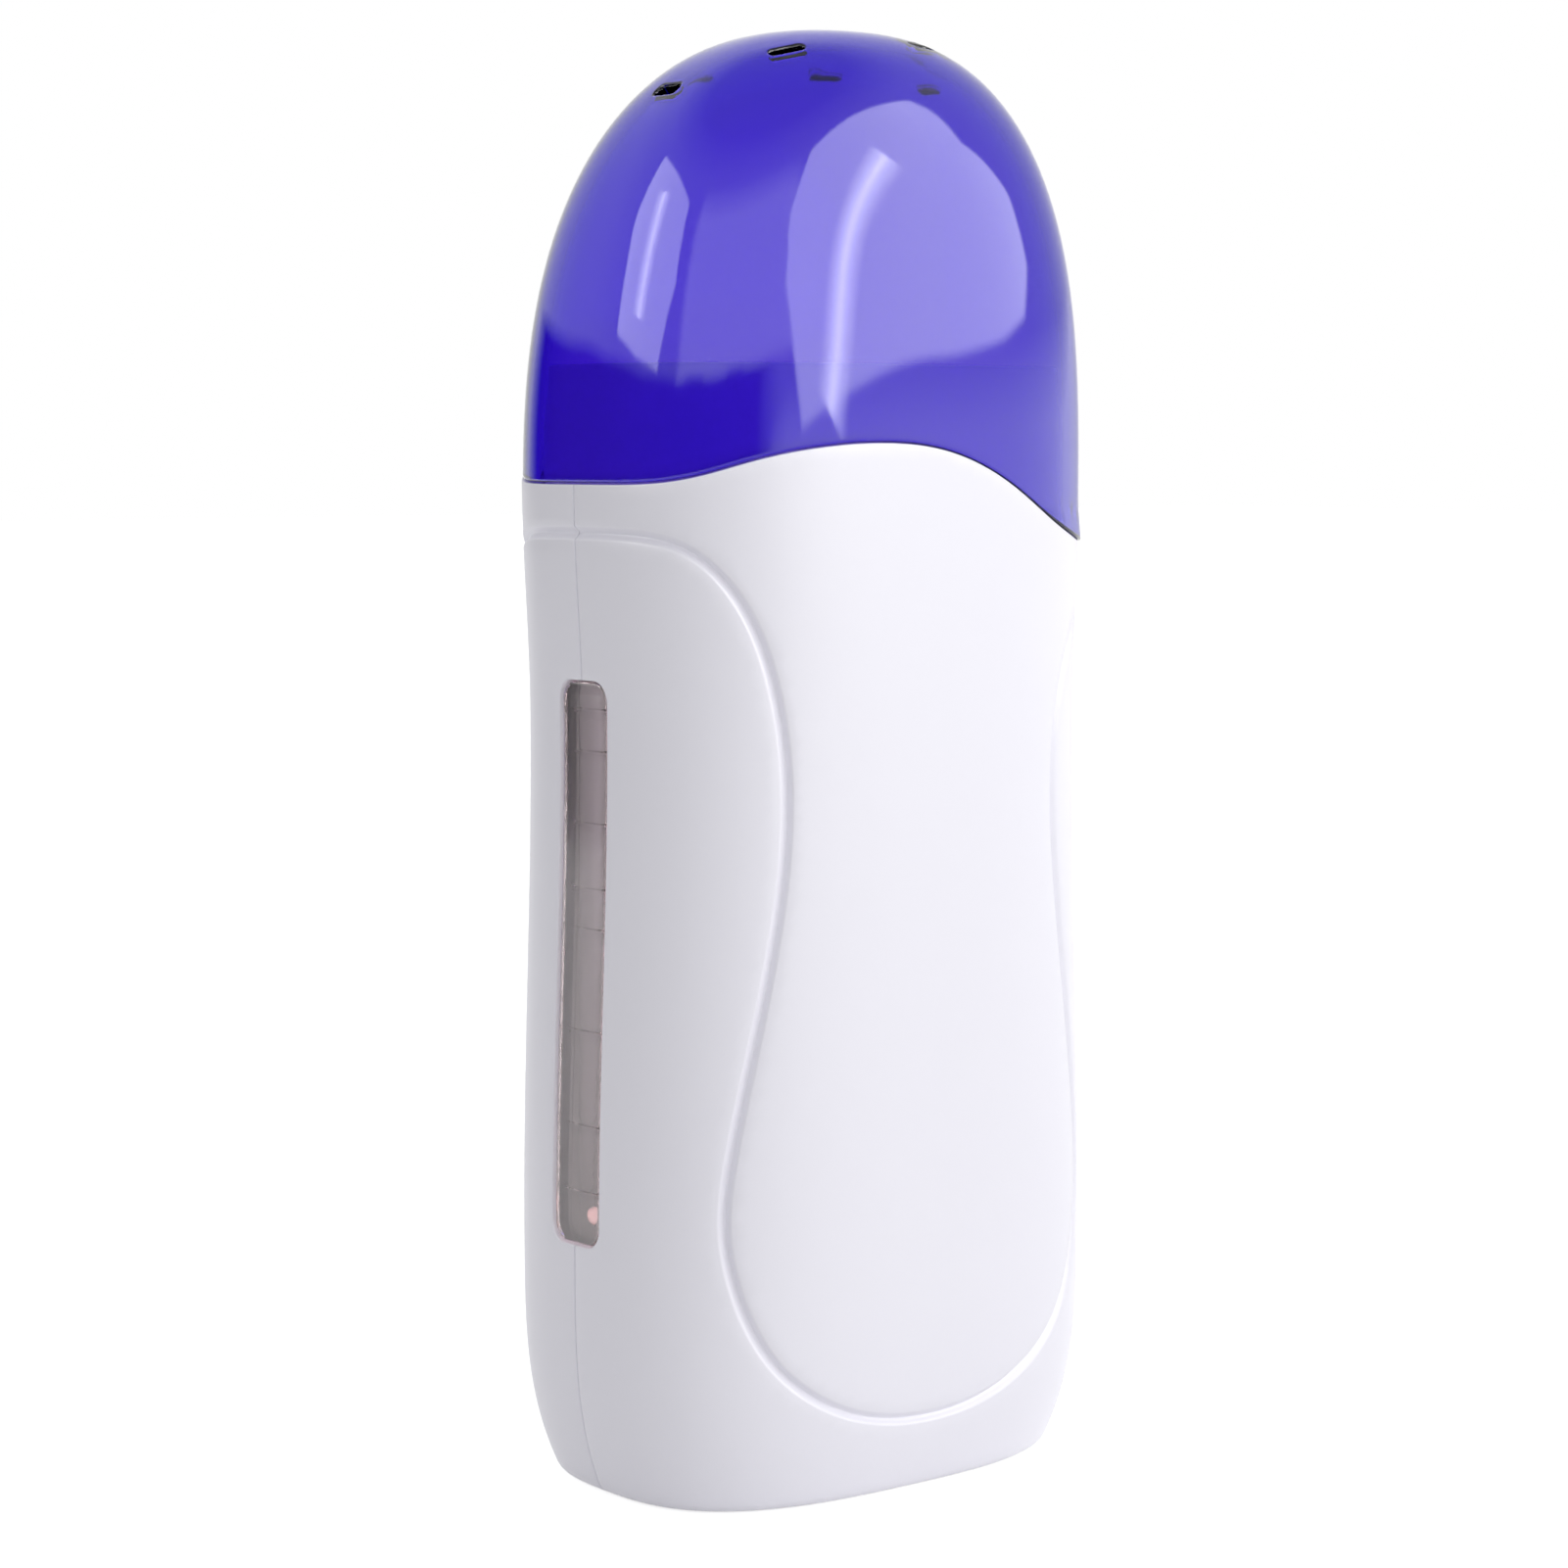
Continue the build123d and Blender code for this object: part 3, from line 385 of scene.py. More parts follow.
def smooth_through(knots, values, at, level_ends=False):
    """The smoothest curve through the values at the knots, read at other places."""
    knots, values, at = (np.asarray(given, float) for given in (knots, values, at))
    steps = np.diff(knots)
    chords = (np.diff(values, axis=0).T / steps).T
    count = len(knots)
    matrix, target = np.zeros((count, count)), np.zeros_like(values)
    for i in range(1, count - 1):
        matrix[i, i - 1 : i + 2] = steps[i], 2 * (steps[i - 1] + steps[i]), steps[i - 1]
        target[i] = 3 * (steps[i] * chords[i - 1] + steps[i - 1] * chords[i])
    if level_ends:
        matrix[0, 0] = matrix[-1, -1] = 1
    else:
        matrix[0, :2], matrix[-1, -2:] = (2, 1), (1, 2)
        target[0], target[-1] = 3 * chords[0], 3 * chords[-1]
    slopes = np.linalg.solve(matrix, target)
    here = np.clip(np.searchsorted(knots, at, side="right") - 1, 0, count - 2)
    share = ((at - knots[here]) / steps[here]).reshape((-1,) + (1,) * (values.ndim - 1))
    span = steps[here].reshape(share.shape)
    start, end = values[here], values[here + 1]
    rest = 1 - share
    bend = slopes[here] * span * rest - slopes[here + 1] * span * share
    straight = start * rest**2 * (1 + 2 * share) + end * share**2 * (3 - 2 * share)
    return straight + bend * share * rest


def even_stops(start, end, pitch):
    """Evenly spaced values from start to end."""
    return np.linspace(start, end, max(2, ceil(abs(end - start) / pitch) + 1))


def arc(centre_x, centre_y, radius, start, end, count):
    """Points of an arc, with angles in degrees."""
    angles = np.radians(np.linspace(start, end, count))
    x, y = centre_x + radius * np.cos(angles), centre_y + radius * np.sin(angles)
    return np.stack([x, y], axis=1)


def level_line(places, level):
    """Flat points at one level."""
    return np.stack([places, np.full(len(places), level)], axis=1)


def upright_line(place, levels):
    """Flat points above one another."""
    return np.stack([np.full(len(levels), place), levels], axis=1)


def headings(line):
    """Unit directions along a line of flat points."""
    ahead = np.gradient(line, axis=0)
    return ahead / np.hypot(*ahead.T)[:, None]


def rounded_bar(half_width, bottom, top, corner, count):
    """A closed rounded rectangle, anticlockwise, with as many points at any corner radius."""
    sides = []
    for x, y, start in ((1, top, 0), (-1, top, 90), (-1, bottom, 180), (1, bottom, 270)):
        centre_x, centre_y = x * (half_width - corner), y - corner if y == top else y + corner
        sides.append(arc(centre_x, centre_y, corner, start, start + 90, CORNER_POINTS))
    left = np.linspace(sides[1][-1], sides[2][0], count)[1:-1]
    right = np.linspace(sides[3][-1], sides[0][0], count)[1:-1]
    return np.concatenate([sides[0], sides[1], left, sides[2], sides[3], right])


def inside(points, loops):
    """Whether each point lies inside an odd number of loops."""
    odd = np.zeros(len(points), bool)
    x, y = points[:, 0], points[:, 1]
    for loop in loops:
        for (x0, y0), (x1, y1) in zip(loop, np.roll(loop, -1, axis=0)):
            if y0 != y1:
                odd ^= ((y0 > y) != (y1 > y)) & (x < x0 + (y - y0) * (x1 - x0) / (y1 - y0))
    return odd


def tree_of(points):
    """A search tree of flat points."""
    tree = KDTree(len(points))
    for i, (x, y) in enumerate(points):
        tree.insert((x, y, 0), i)
    tree.balance()
    return tree


def kept_runs(line, kept):
    """The stretches of a line whose points are kept."""
    breaks = np.flatnonzero(np.diff(kept.astype(int))) + 1
    parts = zip(np.split(line, breaks), np.split(kept, breaks))
    return [part for part, keep in parts if keep[0] and len(part) > 1]


def fill(loops, lines, pitch):
    """Triangles over the area between the loops, along the lines, with points a pitch apart."""
    corners = np.concatenate([*loops, *lines]) if lines else np.concatenate(loops)
    edges, first = [], 0
    for loop in loops:
        count = len(loop)
        edges += [(first + i, first + (i + 1) % count) for i in range(count)]
        first += count
    for line in lines:
        edges += [(first + i, first + i + 1) for i in range(len(line) - 1)]
        first += len(line)
    low, high = loops[0].min(axis=0), loops[0].max(axis=0)
    rows = np.arange(low[1] + pitch / 2, high[1], pitch * sin(pi / 3))
    starts = [low[0] + pitch / 2 * (i % 2) for i in range(len(rows))]
    grid = np.concatenate(
        [level_line(np.arange(start, high[0], pitch), y) for start, y in zip(starts, rows)]
    )
    grid = grid[inside(grid, loops)]
    near = tree_of(corners)
    spread = [point for point in grid if near.find((*point, 0))[2] > pitch * LEAST_SPACING]
    points = [Vector(point) for point in (*corners, *spread)]
    flat, _, triangles, *_ = delaunay_2d_cdt(points, edges, [], 0, SAME_POINT)
    flat, triangles = np.array(flat), np.array(triangles)
    a, b, c = (flat[triangles[:, i]] for i in range(3))
    area = np.abs((b - a)[:, 0] * (c - a)[:, 1] - (b - a)[:, 1] * (c - a)[:, 0])
    return flat, triangles[inside((a + b + c) / 3, loops) & (area > LEAST_AREA)]


class Sheet:
    """Points and faces, gathered patch by patch."""

    def __init__(self):
        self.points, self.faces, self.count = [], [], 0

    def add(self, points, faces):
        self.points.append(np.asarray(points, float))
        self.faces += [[self.count + i for i in face] for face in faces]
        self.count += len(points)

    def strips(self, rings, closed=True):
        """Bands of faces from each ring of points to the next."""
        count = len(rings[0])
        band = [(i, (i + 1) % count) for i in range(count if closed else count - 1)]
        firsts = range(0, (len(rings) - 1) * count, count)
        faces = [(r + i, r + j, r + count + j, r + count + i) for r in firsts for i, j in band]
        self.add(np.concatenate(rings), faces)

    def mesh(self, name):
        mesh = bpy.data.meshes.new(name)
        mesh.from_pydata(np.concatenate(self.points).tolist(), [], self.faces)
        return mesh


def lip_steps(radius, wall, inner_radius):
    """Insets and clearances of a wall's rounded rim, from the outer face to the inner one."""
    steps = [(radius * (1 - cos(a)), radius * (1 - sin(a))) for a in np.radians((0, 30, 60, 90))]
    if not inner_radius:
        return steps + [(wall, 0.0)]
    for a in np.radians((0, 45, 90)):
        steps.append((wall - inner_radius * (1 - sin(a)), inner_radius * (1 - cos(a))))
    return steps


def close_up(mesh, *others):
    """Welds a mesh with others into one closed surface whose faces point outwards."""
    bm = bmesh.new()
    for part in (mesh, *others):
        bm.from_mesh(part)
    bmesh.ops.remove_doubles(bm, verts=bm.verts, dist=WELD)
    bmesh.ops.dissolve_degenerate(bm, edges=bm.edges, dist=WELD / 10)
    loose = [vert for vert in bm.verts if not vert.link_faces]
    bmesh.ops.delete(bm, geom=loose, context="VERTS")
    bmesh.ops.recalc_face_normals(bm, faces=bm.faces)
    open_edges = [edge.verts[0].co.copy() for edge in bm.edges if len(edge.link_faces) != 2]
    bm.to_mesh(mesh)
    bm.free()
    if open_edges:
        raise RuntimeError(f"{mesh.name} has {len(open_edges)} open edges, as at {open_edges[:3]}")
    return mesh


def place(name, mesh, made, body, slot, *nodes):
    """A finished piece of one material that stands for CAD nodes and rides on a body."""
    mesh.name = name
    mesh.materials.clear()
    mesh.materials.append(made)
    mesh.shade_smooth()
    mesh.set_sharp_from_angle(angle=SMOOTH_UP_TO)
    piece = stand(name, mesh)
    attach(piece, body)
    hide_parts(*nodes)


# ---- materials


def material(name, inputs):
    """A new material with its tree and its Principled node, whose inputs are given by name."""
    made = bpy.data.materials.new(name)
    made.use_nodes = True
    shader = made.node_tree.nodes["Principled BSDF"]
    set_inputs(shader, inputs)
    return made, made.node_tree, shader


def set_inputs(node, values):
    for key, value in values.items():
        node.inputs[key].default_value = value


def noise(tree, scale):
    """Noise in the piece's own coordinates."""
    where, cloud = tree.nodes.new("ShaderNodeTexCoord"), tree.nodes.new("ShaderNodeTexNoise")
    set_inputs(cloud, {"Scale": scale, "Detail": 2})
    wire(tree, (where.outputs["Object"], cloud.inputs["Vector"]))
    return cloud.outputs["Fac"]


def spread_between(tree, fac, low, high):
    """The field mapped from 0 to 1 onto low to high."""
    node = tree.nodes.new("ShaderNodeMapRange")
    set_inputs(node, {"To Min": low, "To Max": high})
    wire(tree, (fac, node.inputs["Value"]))
    return node.outputs["Result"]


def show_by(tree, fac, first, second):
    """Makes the surface the first shader where fac is 0, and the second where it is 1."""
    mix = tree.nodes.new("ShaderNodeMixShader")
    wire(
        tree,
        (fac, mix.inputs["Fac"]),
        (first.outputs[0], mix.inputs[1]),
        (second.outputs[0], mix.inputs[2]),
        (mix.outputs[0], tree.nodes["Material Output"].inputs["Surface"]),
    )


def satin_plastic(name, tint, roughness, grain):
    """Moulded white plastic with a faint spark-eroded grain."""
    made, tree, shader = material(name, {"Base Color": (*tint, 1), "Specular IOR Level": 0.28})
    bump = tree.nodes.new("ShaderNodeBump")
    set_inputs(bump, {"Strength": grain, "Distance": GRAIN_DEPTH})
    worn = spread_between(tree, noise(tree, WEAR_SCALE), roughness - 0.03, roughness + 0.04)
    wire(
        tree,
        (worn, shader.inputs["Roughness"]),
        (noise(tree, GRAIN_SCALE), bump.inputs["Height"]),
        (bump.outputs[0], shader.inputs["Normal"]),
    )
    return made


def clear_plastic(name, tint, wall, roughness, haze):
    """See-through plastic that is dyed all through, so that one wall's thickness has the tint."""
    made, tree, shader = material(
        name,
        {
            "Base Color": (1, 1, 1, 1),
            "Roughness": roughness,
            "IOR": 1.5,
            "Transmission Weight": 1 - haze,
        },
    )
    strengths = [-log(channel) / wall for channel in tint]
    densest = max(strengths) * 1.1  # keeps every channel of the dye's colour above 0
    dye = tree.nodes.new("ShaderNodeVolumeAbsorption")
    passed = (*(1 - strength / densest for strength in strengths), 1)
    set_inputs(dye, {"Color": passed, "Density": densest})
    wire(tree, (dye.outputs[0], tree.nodes["Material Output"].inputs["Volume"]))
    in_shadow = tree.nodes.new("ShaderNodeLightPath").outputs["Is Shadow Ray"]
    show_by(tree, in_shadow, shader, tree.nodes.new("ShaderNodeBsdfTransparent"))
    return made


# ---- body shells

GIRTH_SAMPLES = 1440
# Share of the half width, and share of the rise to the crest or of the fall from it
EDGE_RISE = ((-1.0, 0.0), (-0.74, 0.5), (-0.49, 0.885))
EDGE_FALL = ((0.085, 0.1), (0.365, 0.41), (0.6, 0.755), (0.79, 0.926), (1.0, 1.0))
# The groove's line: degrees round from the narrow side, and share of the way up
GROOVE_UPPER = ((-5, 1.0), (8, 1.0), (22, 0.994), (36, 0.945), (46, 0.775), (53, 0.43))
GROOVE_LOWER = ((55.6, 1.0), (54, 0.81), (50.2, 0.63), (46.2, 0.46))
GROOVE_LOWER += ((44.8, 0.33), (47.2, 0.235), (55, 0.115), (70, 0.028))
GROOVE_PITCH = 0.0008
GROOVE_ROWS = 11
SKIN_PITCH = 0.0014
INNER_PITCH = 0.004
RIM_PITCH = 0.0012  # along the upper edge and the foot
SEAM_PITCH = 0.0013
# The seam's points lie closer where it crosses the groove
CROSSING_PITCH = 0.0003
CROSSING_REACH = 0.0024
CROSSING_CLEARANCE = 0.0029
SLOT_CORNER_POINTS = 8
FOOT_ROWS = (0.00006, 0.0002, 0.00042, 0.00075, 0.0012, 0.002)
FOOT_TOP = 0.0032  # the lowest of the seam's even stops
FOOT_BLEND = 0.006  # up to here the seam's points follow the base's thickness
SLOT_BLEND = 0.02  # from here up they follow the slot's clearance
INLET_HALF_WIDTH = 0.0102
INLET_HALF_DEPTH = 0.0067
INLET_CORNER = 0.003
INLET_CORNER_POINTS = 7
BASE_SEAM_POINTS = 24
BOSS_X = 0.023
BOSS_LEVEL = 0.014
BOSS_RADIUS = 0.0036
SCREW_BORE = 0.0017
PILOT_BORE = 0.0015
PILOT_DEPTH = 0.011
HEAD_BORE = 0.00305
HEAD_SEAT = 0.008
BORE_SIDES = 28
BORE_MARGIN = 0.0005  # from a bore to the groove's rows
SEAM_MARGIN = 0.0004  # from the seam to the groove's rows


def edge_level(sizes, x):
    """Height of the waved line where it crosses a place in front view."""
    edge, half = sizes.edge, sizes.cap.half_width
    rise, fall = edge.crest_level - edge.left_level, edge.crest_level - edge.right_level
    knots = [(share * half, edge.left_level + up * rise) for share, up in EDGE_RISE]
    knots += [(edge.crest_x, edge.crest_level)]
    knots += [(share * half, edge.crest_level - down * fall) for share, down in EDGE_FALL]
    places, levels = np.array(knots).T
    return smooth_through(places, levels, np.clip(x, -half, half), level_ends=True)


class Girdle:
    """Arc lengths round the front of the body, measured at the waist from the left narrow side."""

    def __init__(self, body):
        self.turns = np.linspace(pi, tau, GIRTH_SAMPLES + 1)
        x, y, _ = body_law(body, self.turns, body.waist_level, 0)
        self.arcs = np.concatenate([[0], np.cumsum(np.hypot(np.diff(x), np.diff(y)))])
        self.length = self.arcs[-1]
        self.body = body

    def turn(self, arc_length):
        """The turn at an arc length, which may run past either narrow side."""
        folded = np.interp(np.abs(arc_length), self.arcs, self.turns)
        return np.where(np.asarray(arc_length) < 0, tau - folded, folded)

    def at_turn(self, turn):
        return np.interp(turn, self.turns, self.arcs)

    def chart(self, flat, inset):
        """Chart coordinates of flat points: turn, level and inset."""
        return np.stack([self.turn(flat[:, 0]), flat[:, 1], inset], axis=1)

    def at_place(self, x, level, inset):
        """Arc length of the point of the front that stands at x in front view."""
        across = body_law(self.body, self.turns, level, inset)[0]
        return np.interp(x, across, self.arcs)


def top_edge(sizes, girdle, clear, count):
    """The upper edge of a shell from the left seam to the right one."""
    arcs = np.linspace(clear, girdle.length - clear, count)
    levels = np.full(count, sizes.edge.crest_level)
    for _ in range(4):
        x = body_law(sizes.body, girdle.turn(arcs), levels, 0)[0]
        levels = edge_level(sizes, x) - clear
    return np.stack([arcs, levels], axis=1)


def seam_edge(sizes, top, groove_level, foot, clear):
    """Distances from a seam and levels, from the waved edge to the foot, round half the slot."""
    window = sizes.window
    slot_top, slot_foot, half = window.bottom + window.height, window.bottom, window.width / 2
    corner, radius = window.corner, window.corner + clear
    fine = np.arange(groove_level - CROSSING_REACH, groove_level + CROSSING_REACH, CROSSING_PITCH)
    coarse = even_stops(top, slot_top, SEAM_PITCH)
    coarse = coarse[np.abs(coarse - groove_level) > CROSSING_CLEARANCE]
    upper = np.sort(np.concatenate([coarse, fine]))[::-1]
    upper = np.interp(upper, [slot_top, top], [slot_top + clear, top - clear])
    low = np.sort([*FOOT_ROWS, 0.0, *even_stops(FOOT_TOP, slot_foot, SEAM_PITCH)])[::-1]
    low = np.interp(low, [0, SLOT_BLEND, slot_foot], [0, SLOT_BLEND, slot_foot - clear])
    low = low + foot * np.clip(1 - low / FOOT_BLEND, 0, 1)
    middle = even_stops(slot_top - corner, slot_foot + corner, SEAM_PITCH)[1:-1]
    x = half - corner
    return np.concatenate(
        [
            upright_line(clear, upper),
            level_line(np.linspace(clear, x, 4)[1:-1], slot_top + clear),
            arc(x, slot_top - corner, radius, 90, 0, SLOT_CORNER_POINTS),
            upright_line(half + clear, middle),
            arc(x, slot_foot + corner, radius, 0, -90, SLOT_CORNER_POINTS),
            level_line(np.linspace(x, clear, 4)[1:-1], slot_foot - clear),
            upright_line(clear, low),
        ]
    )


def groove_line(sizes, girdle):
    """Points along the middle of the groove, as arc lengths and levels."""
    edge, groove = sizes.edge, sizes.groove
    waist, foot = groove.waist_level, groove.foot_level
    left, right = (
        [(turn, waist + up * (end - groove.margin - waist)) for turn, up in GROOVE_UPPER]
        + [(turn, foot + up * (waist - foot)) for turn, up in GROOVE_LOWER]
        for end in (edge.left_level, edge.right_level)
    )
    knots = [(radians(180 + turn), level) for turn, level in left]
    knots += [(radians(270), foot)]
    knots += [(radians(360 - turn), level) for turn, level in right[::-1]]
    points = []
    for turn, level in knots:
        past = min(turn - pi, 0) + max(turn - tau, 0)  # beyond a narrow side the girth is flat
        points.append((girdle.at_turn(turn) + past * sizes.body.half_depth, level))
    points = np.array(points)
    along = np.concatenate([[0], np.cumsum(np.hypot(*np.diff(points, axis=0).T))])
    return smooth_through(along, points, np.linspace(0, along[-1], ceil(along[-1] / GROOVE_PITCH)))


def groove_rows(line, width):
    """Lines beside the middle of the groove, for its triangles to follow."""
    ahead = headings(line)
    beside = np.stack([-ahead[:, 1], ahead[:, 0]], axis=1)
    return [line + beside * off for off in np.linspace(-width / 2, width / 2, GROOVE_ROWS)]


def groove_inset(points, line, groove):
    """How deep the groove is pressed at points of the chart."""
    tree, ahead = tree_of(line), headings(line)
    depths = np.zeros(len(points))
    for i, point in enumerate(points):
        _, nearest, gap = tree.find((*point, 0))
        if gap < groove.width:
            off = point - line[nearest]
            across = abs(off[0] * ahead[nearest, 1] - off[1] * ahead[nearest, 0])
            depths[i] = groove.depth * (1 + cos(pi * min(1, across / (groove.width / 2)))) / 2
    return depths


def shell_mesh(sizes, rear):
    """A shell in front view: skins, rims, base and screw bosses. The rear one is turned round."""
    body, edge, margin = sizes.body, sizes.edge, sizes.groove.margin
    girdle = Girdle(body)
    line = groove_line(sizes, girdle)
    charted, direct = Sheet(), Sheet()
    count = round(girdle.length / RIM_PITCH)

    def chart(flat, inset):
        """Chart coordinates of flat points, with the groove pressed in."""
        outer = inset < body.wall
        pressed = groove_inset(flat, line, sizes.groove) if outer else np.zeros(len(flat))
        return girdle.chart(flat, pressed + inset * (1 - pressed / body.wall))

    def lay(charted_points):
        """Places in space of chart coordinates."""
        return np.stack(body_law(body, *charted_points.T), axis=1)

    def side_ring(foot, clear):
        """The rim beside the skin: up the left seam, along the top and down the right seam."""
        left, right = (
            seam_edge(sizes, top, top - margin, foot, clear)
            for top in (edge.left_level, edge.right_level)
        )
        right[:, 0] = girdle.length - right[:, 0]
        return np.concatenate([left[::-1], top_edge(sizes, girdle, clear, count)[1:-1], right])

    def base_ring(foot, clear, first, last):
        """The rim in the base, from the right foot round the inlet to the left foot."""
        reach, depth = INLET_HALF_WIDTH + clear, INLET_HALF_DEPTH + clear
        x, y, corner = reach - INLET_CORNER, INLET_CORNER - depth, INLET_CORNER
        run = np.linspace(0, 1, BASE_SEAM_POINTS)
        flat = np.concatenate(
            [
                level_line(first[0] + (reach - first[0]) * run, -clear),
                arc(x, y, corner, 0, -90, INLET_CORNER_POINTS),
                arc(-x, y, corner, -90, -180, INLET_CORNER_POINTS),
                level_line(-reach + (last[0] + reach) * run, -clear),
            ]
        )
        flat[0], flat[-1] = first[:2], last[:2]
        return at_height(flat, foot)

    side_rings, base_rings, steps = [], [], []
    for inset, clear in lip_steps(body.lip, body.wall, 0):
        clear, foot = clear + body.seam, body.base_wall * inset / body.wall
        steps.append((inset, clear, foot))
        side_rings.append(side_ring(foot, clear))
        ends = lay(chart(side_rings[-1], inset)[[-1, 0]])
        base_rings.append(base_ring(foot, clear, *ends))
    rims = [chart(ring, inset) for ring, (inset, _, _) in zip(side_rings, steps)]
    charted.strips(rims, closed=False)
    direct.strips(base_rings, closed=False)

    for outer, k in ((True, 0), (False, -1)):
        (inset, clear, foot), flat = steps[k], side_rings[k]
        foot_line = level_line(np.linspace(flat[-1, 0], flat[0, 0], count)[1:-1], foot)
        lines, holes, bosses = [], [], []
        for x in (-BOSS_X, BOSS_X) if rear or not outer else ():
            rim = circle(x, BOSS_LEVEL, HEAD_BORE if outer else BOSS_RADIUS)
            hole = np.array([(girdle.at_place(px, level, inset), level) for px, level in rim])
            holes.append(hole)
            bosses.append((x, lay(chart(hole, inset))))
        if outer:
            low, high = clear + SEAM_MARGIN, girdle.length - clear - SEAM_MARGIN
            for strand in groove_rows(line, sizes.groove.width):
                kept = (strand[:, 0] > low) & (strand[:, 0] < high)
                for hole in holes:
                    off = strand - hole.mean(axis=0)
                    kept &= np.hypot(*off.T) > HEAD_BORE + BORE_MARGIN
                lines += kept_runs(strand, kept)
            across = np.linspace(flat[0, 0], flat[-1, 0], count)[1:-1]
            lines += [level_line(across, level) for level in FOOT_ROWS]
        loop = np.concatenate([flat, foot_line])
        points, triangles = fill([loop, *holes], lines, SKIN_PITCH if outer else INNER_PITCH)
        charted.add(chart(points, inset), triangles)
        placed_foot = lay(chart(foot_line, inset))
        base_loop = np.concatenate([base_rings[k][:, :2], placed_foot[::-1, :2]])
        points, triangles = fill([base_loop], [], INNER_PITCH)
        direct.add(at_height(points, foot), triangles)
        for x, rim in bosses:
            add_bores(direct, x, rim, rear, outer, body.seam)

    mesh = close_up(laid_over("Body surface", body_law, body, charted), direct.mesh("base"))
    if rear:
        mesh.transform(Matrix.Scale(-1, 4, (0, 1, 0)))
        mesh.flip_normals()
    return mesh


def at_height(flat, height):
    """Places in space of flat points, all at one height."""
    return np.concatenate([flat, np.full((len(flat), 1), height)], axis=1)


def circle(x, y, radius):
    """Points round a bore."""
    return arc(x, y, radius, 0, 360, BORE_SIDES + 1)[:-1]


def add_bores(sheet, x, rim, rear, outer, seam):
    """The walls of a screw boss, from a hole's rim in a skin to the boss's seat."""

    def ring(radius, y):
        flat = circle(x, BOSS_LEVEL, radius)
        return np.stack([flat[:, 0], np.full(BORE_SIDES, y), flat[:, 1]], axis=1)

    if outer:
        sheet.strips([rim, ring(HEAD_BORE, -HEAD_SEAT), ring(SCREW_BORE, -HEAD_SEAT)])
        return
    bore, depth = (SCREW_BORE, HEAD_SEAT) if rear else (PILOT_BORE, PILOT_DEPTH)
    sheet.strips([rim, ring(BOSS_RADIUS, -seam), ring(bore, -seam), ring(bore, -depth)])
    if not rear:
        sheet.add(ring(bore, -depth), [tuple(range(BORE_SIDES))])


class WAXHEATER_OT_shells(bpy.types.Operator):
    """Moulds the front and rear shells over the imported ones, with the groove pressed into both"""

    bl_idname = "waxheater.shells"
    bl_label = "Body shells"

    def execute(self, context):
        sizes = context.scene.wax_heater
        white = satin_plastic("white satin plastic", sizes.finish.body, 0.36, 0.25)
        for name, rear in (("front_shell", False), ("rear_shell", True)):
            mesh = shell_mesh(sizes, rear)
            place(f"{name}_moulding", mesh, white, "body", "white_plastic", name)
        return {"FINISHED"}


# ---- cap

CAP_PITCH = 0.0013
CAP_INNER_PITCH = 0.0026
CAP_RIM_POINTS = 420
RIM_SUPPORTS = (0.00012, 0.0004, 0.001)  # lines beside a rim, which keep the faces there even
INNER_LIP_SHARE = 0.7  # of the outer lip's radius
CAP_ROUGHNESS = 0.05
MERIDIAN_SAMPLES = 2000
SKIRT_REACH = 0.008  # how far the flat picture goes below the dome
# Search on the dome for the points under a plan: rounds, trial step, and the longest moves
SEARCH_ROUNDS = 30
SEARCH_STEP = 1e-5
LONGEST_TURN = 0.3
LONGEST_CLIMB = 0.01
FIRST_CLIMB = 1.2  # angles, in radians
HIGHEST_CLIMB = 1.55


class Dome:
    """A flat picture of the cap: distance from the crown down the front, towards the turn."""

    def __init__(self, cap):
        self.cap = cap
        self.rise = cap.height - cap.dome_level
        self.climbs = np.linspace(self.rise * pi / 2, -SKIRT_REACH, MERIDIAN_SAMPLES)
        x, y, z = cap_law(cap, 1.5 * pi, self.climbs, 0)
        self.runs = np.concatenate([[0], np.cumsum(np.hypot(np.diff(y), np.diff(z)))])

    def flat(self, turn, climb):
        run = np.interp(-climb, -self.climbs, self.runs)
        return np.stack([run * np.cos(turn), run * np.sin(turn)], axis=1)

    def chart(self, flat, inset):
        run = np.hypot(*flat.T)
        turn = np.arctan2(flat[:, 1], flat[:, 0])
        climb = np.interp(run, self.runs, self.climbs)
        return np.stack([turn, climb, np.full(len(flat), inset)], axis=1)

    def climb_at(self, level):
        above_skirt = level - self.cap.dome_level
        up = np.clip(above_skirt / self.rise, 0, 1)
        return np.where(above_skirt < 0, above_skirt, self.rise * np.arcsin(up))

    def under(self, plan):
        """Turn and climb of the outer face's points that lie under points in plan."""

        def spot(turn, climb):
            return np.stack(cap_law(self.cap, turn, climb, 0)[:2])

        turn = np.arctan2(plan[:, 1], plan[:, 0] - self.cap.lean)
        climb = np.full(len(plan), self.rise * FIRST_CLIMB)
        for _ in range(SEARCH_ROUNDS):
            here = spot(turn, climb)
            by_turn = (spot(turn + SEARCH_STEP, climb) - here) / SEARCH_STEP
            by_climb = (spot(turn, climb + SEARCH_STEP) - here) / SEARCH_STEP
            miss = plan.T - here
            whole = by_turn[0] * by_climb[1] - by_turn[1] * by_climb[0]
            more_turn = (miss[0] * by_climb[1] - miss[1] * by_climb[0]) / whole
            more_climb = (by_turn[0] * miss[1] - by_turn[1] * miss[0]) / whole
            turn = turn + np.clip(more_turn, -LONGEST_TURN, LONGEST_TURN)
            climb = climb + np.clip(more_climb, -LONGEST_CLIMB, LONGEST_CLIMB)
            climb = np.clip(climb, 0, self.rise * HIGHEST_CLIMB)
        return turn, climb


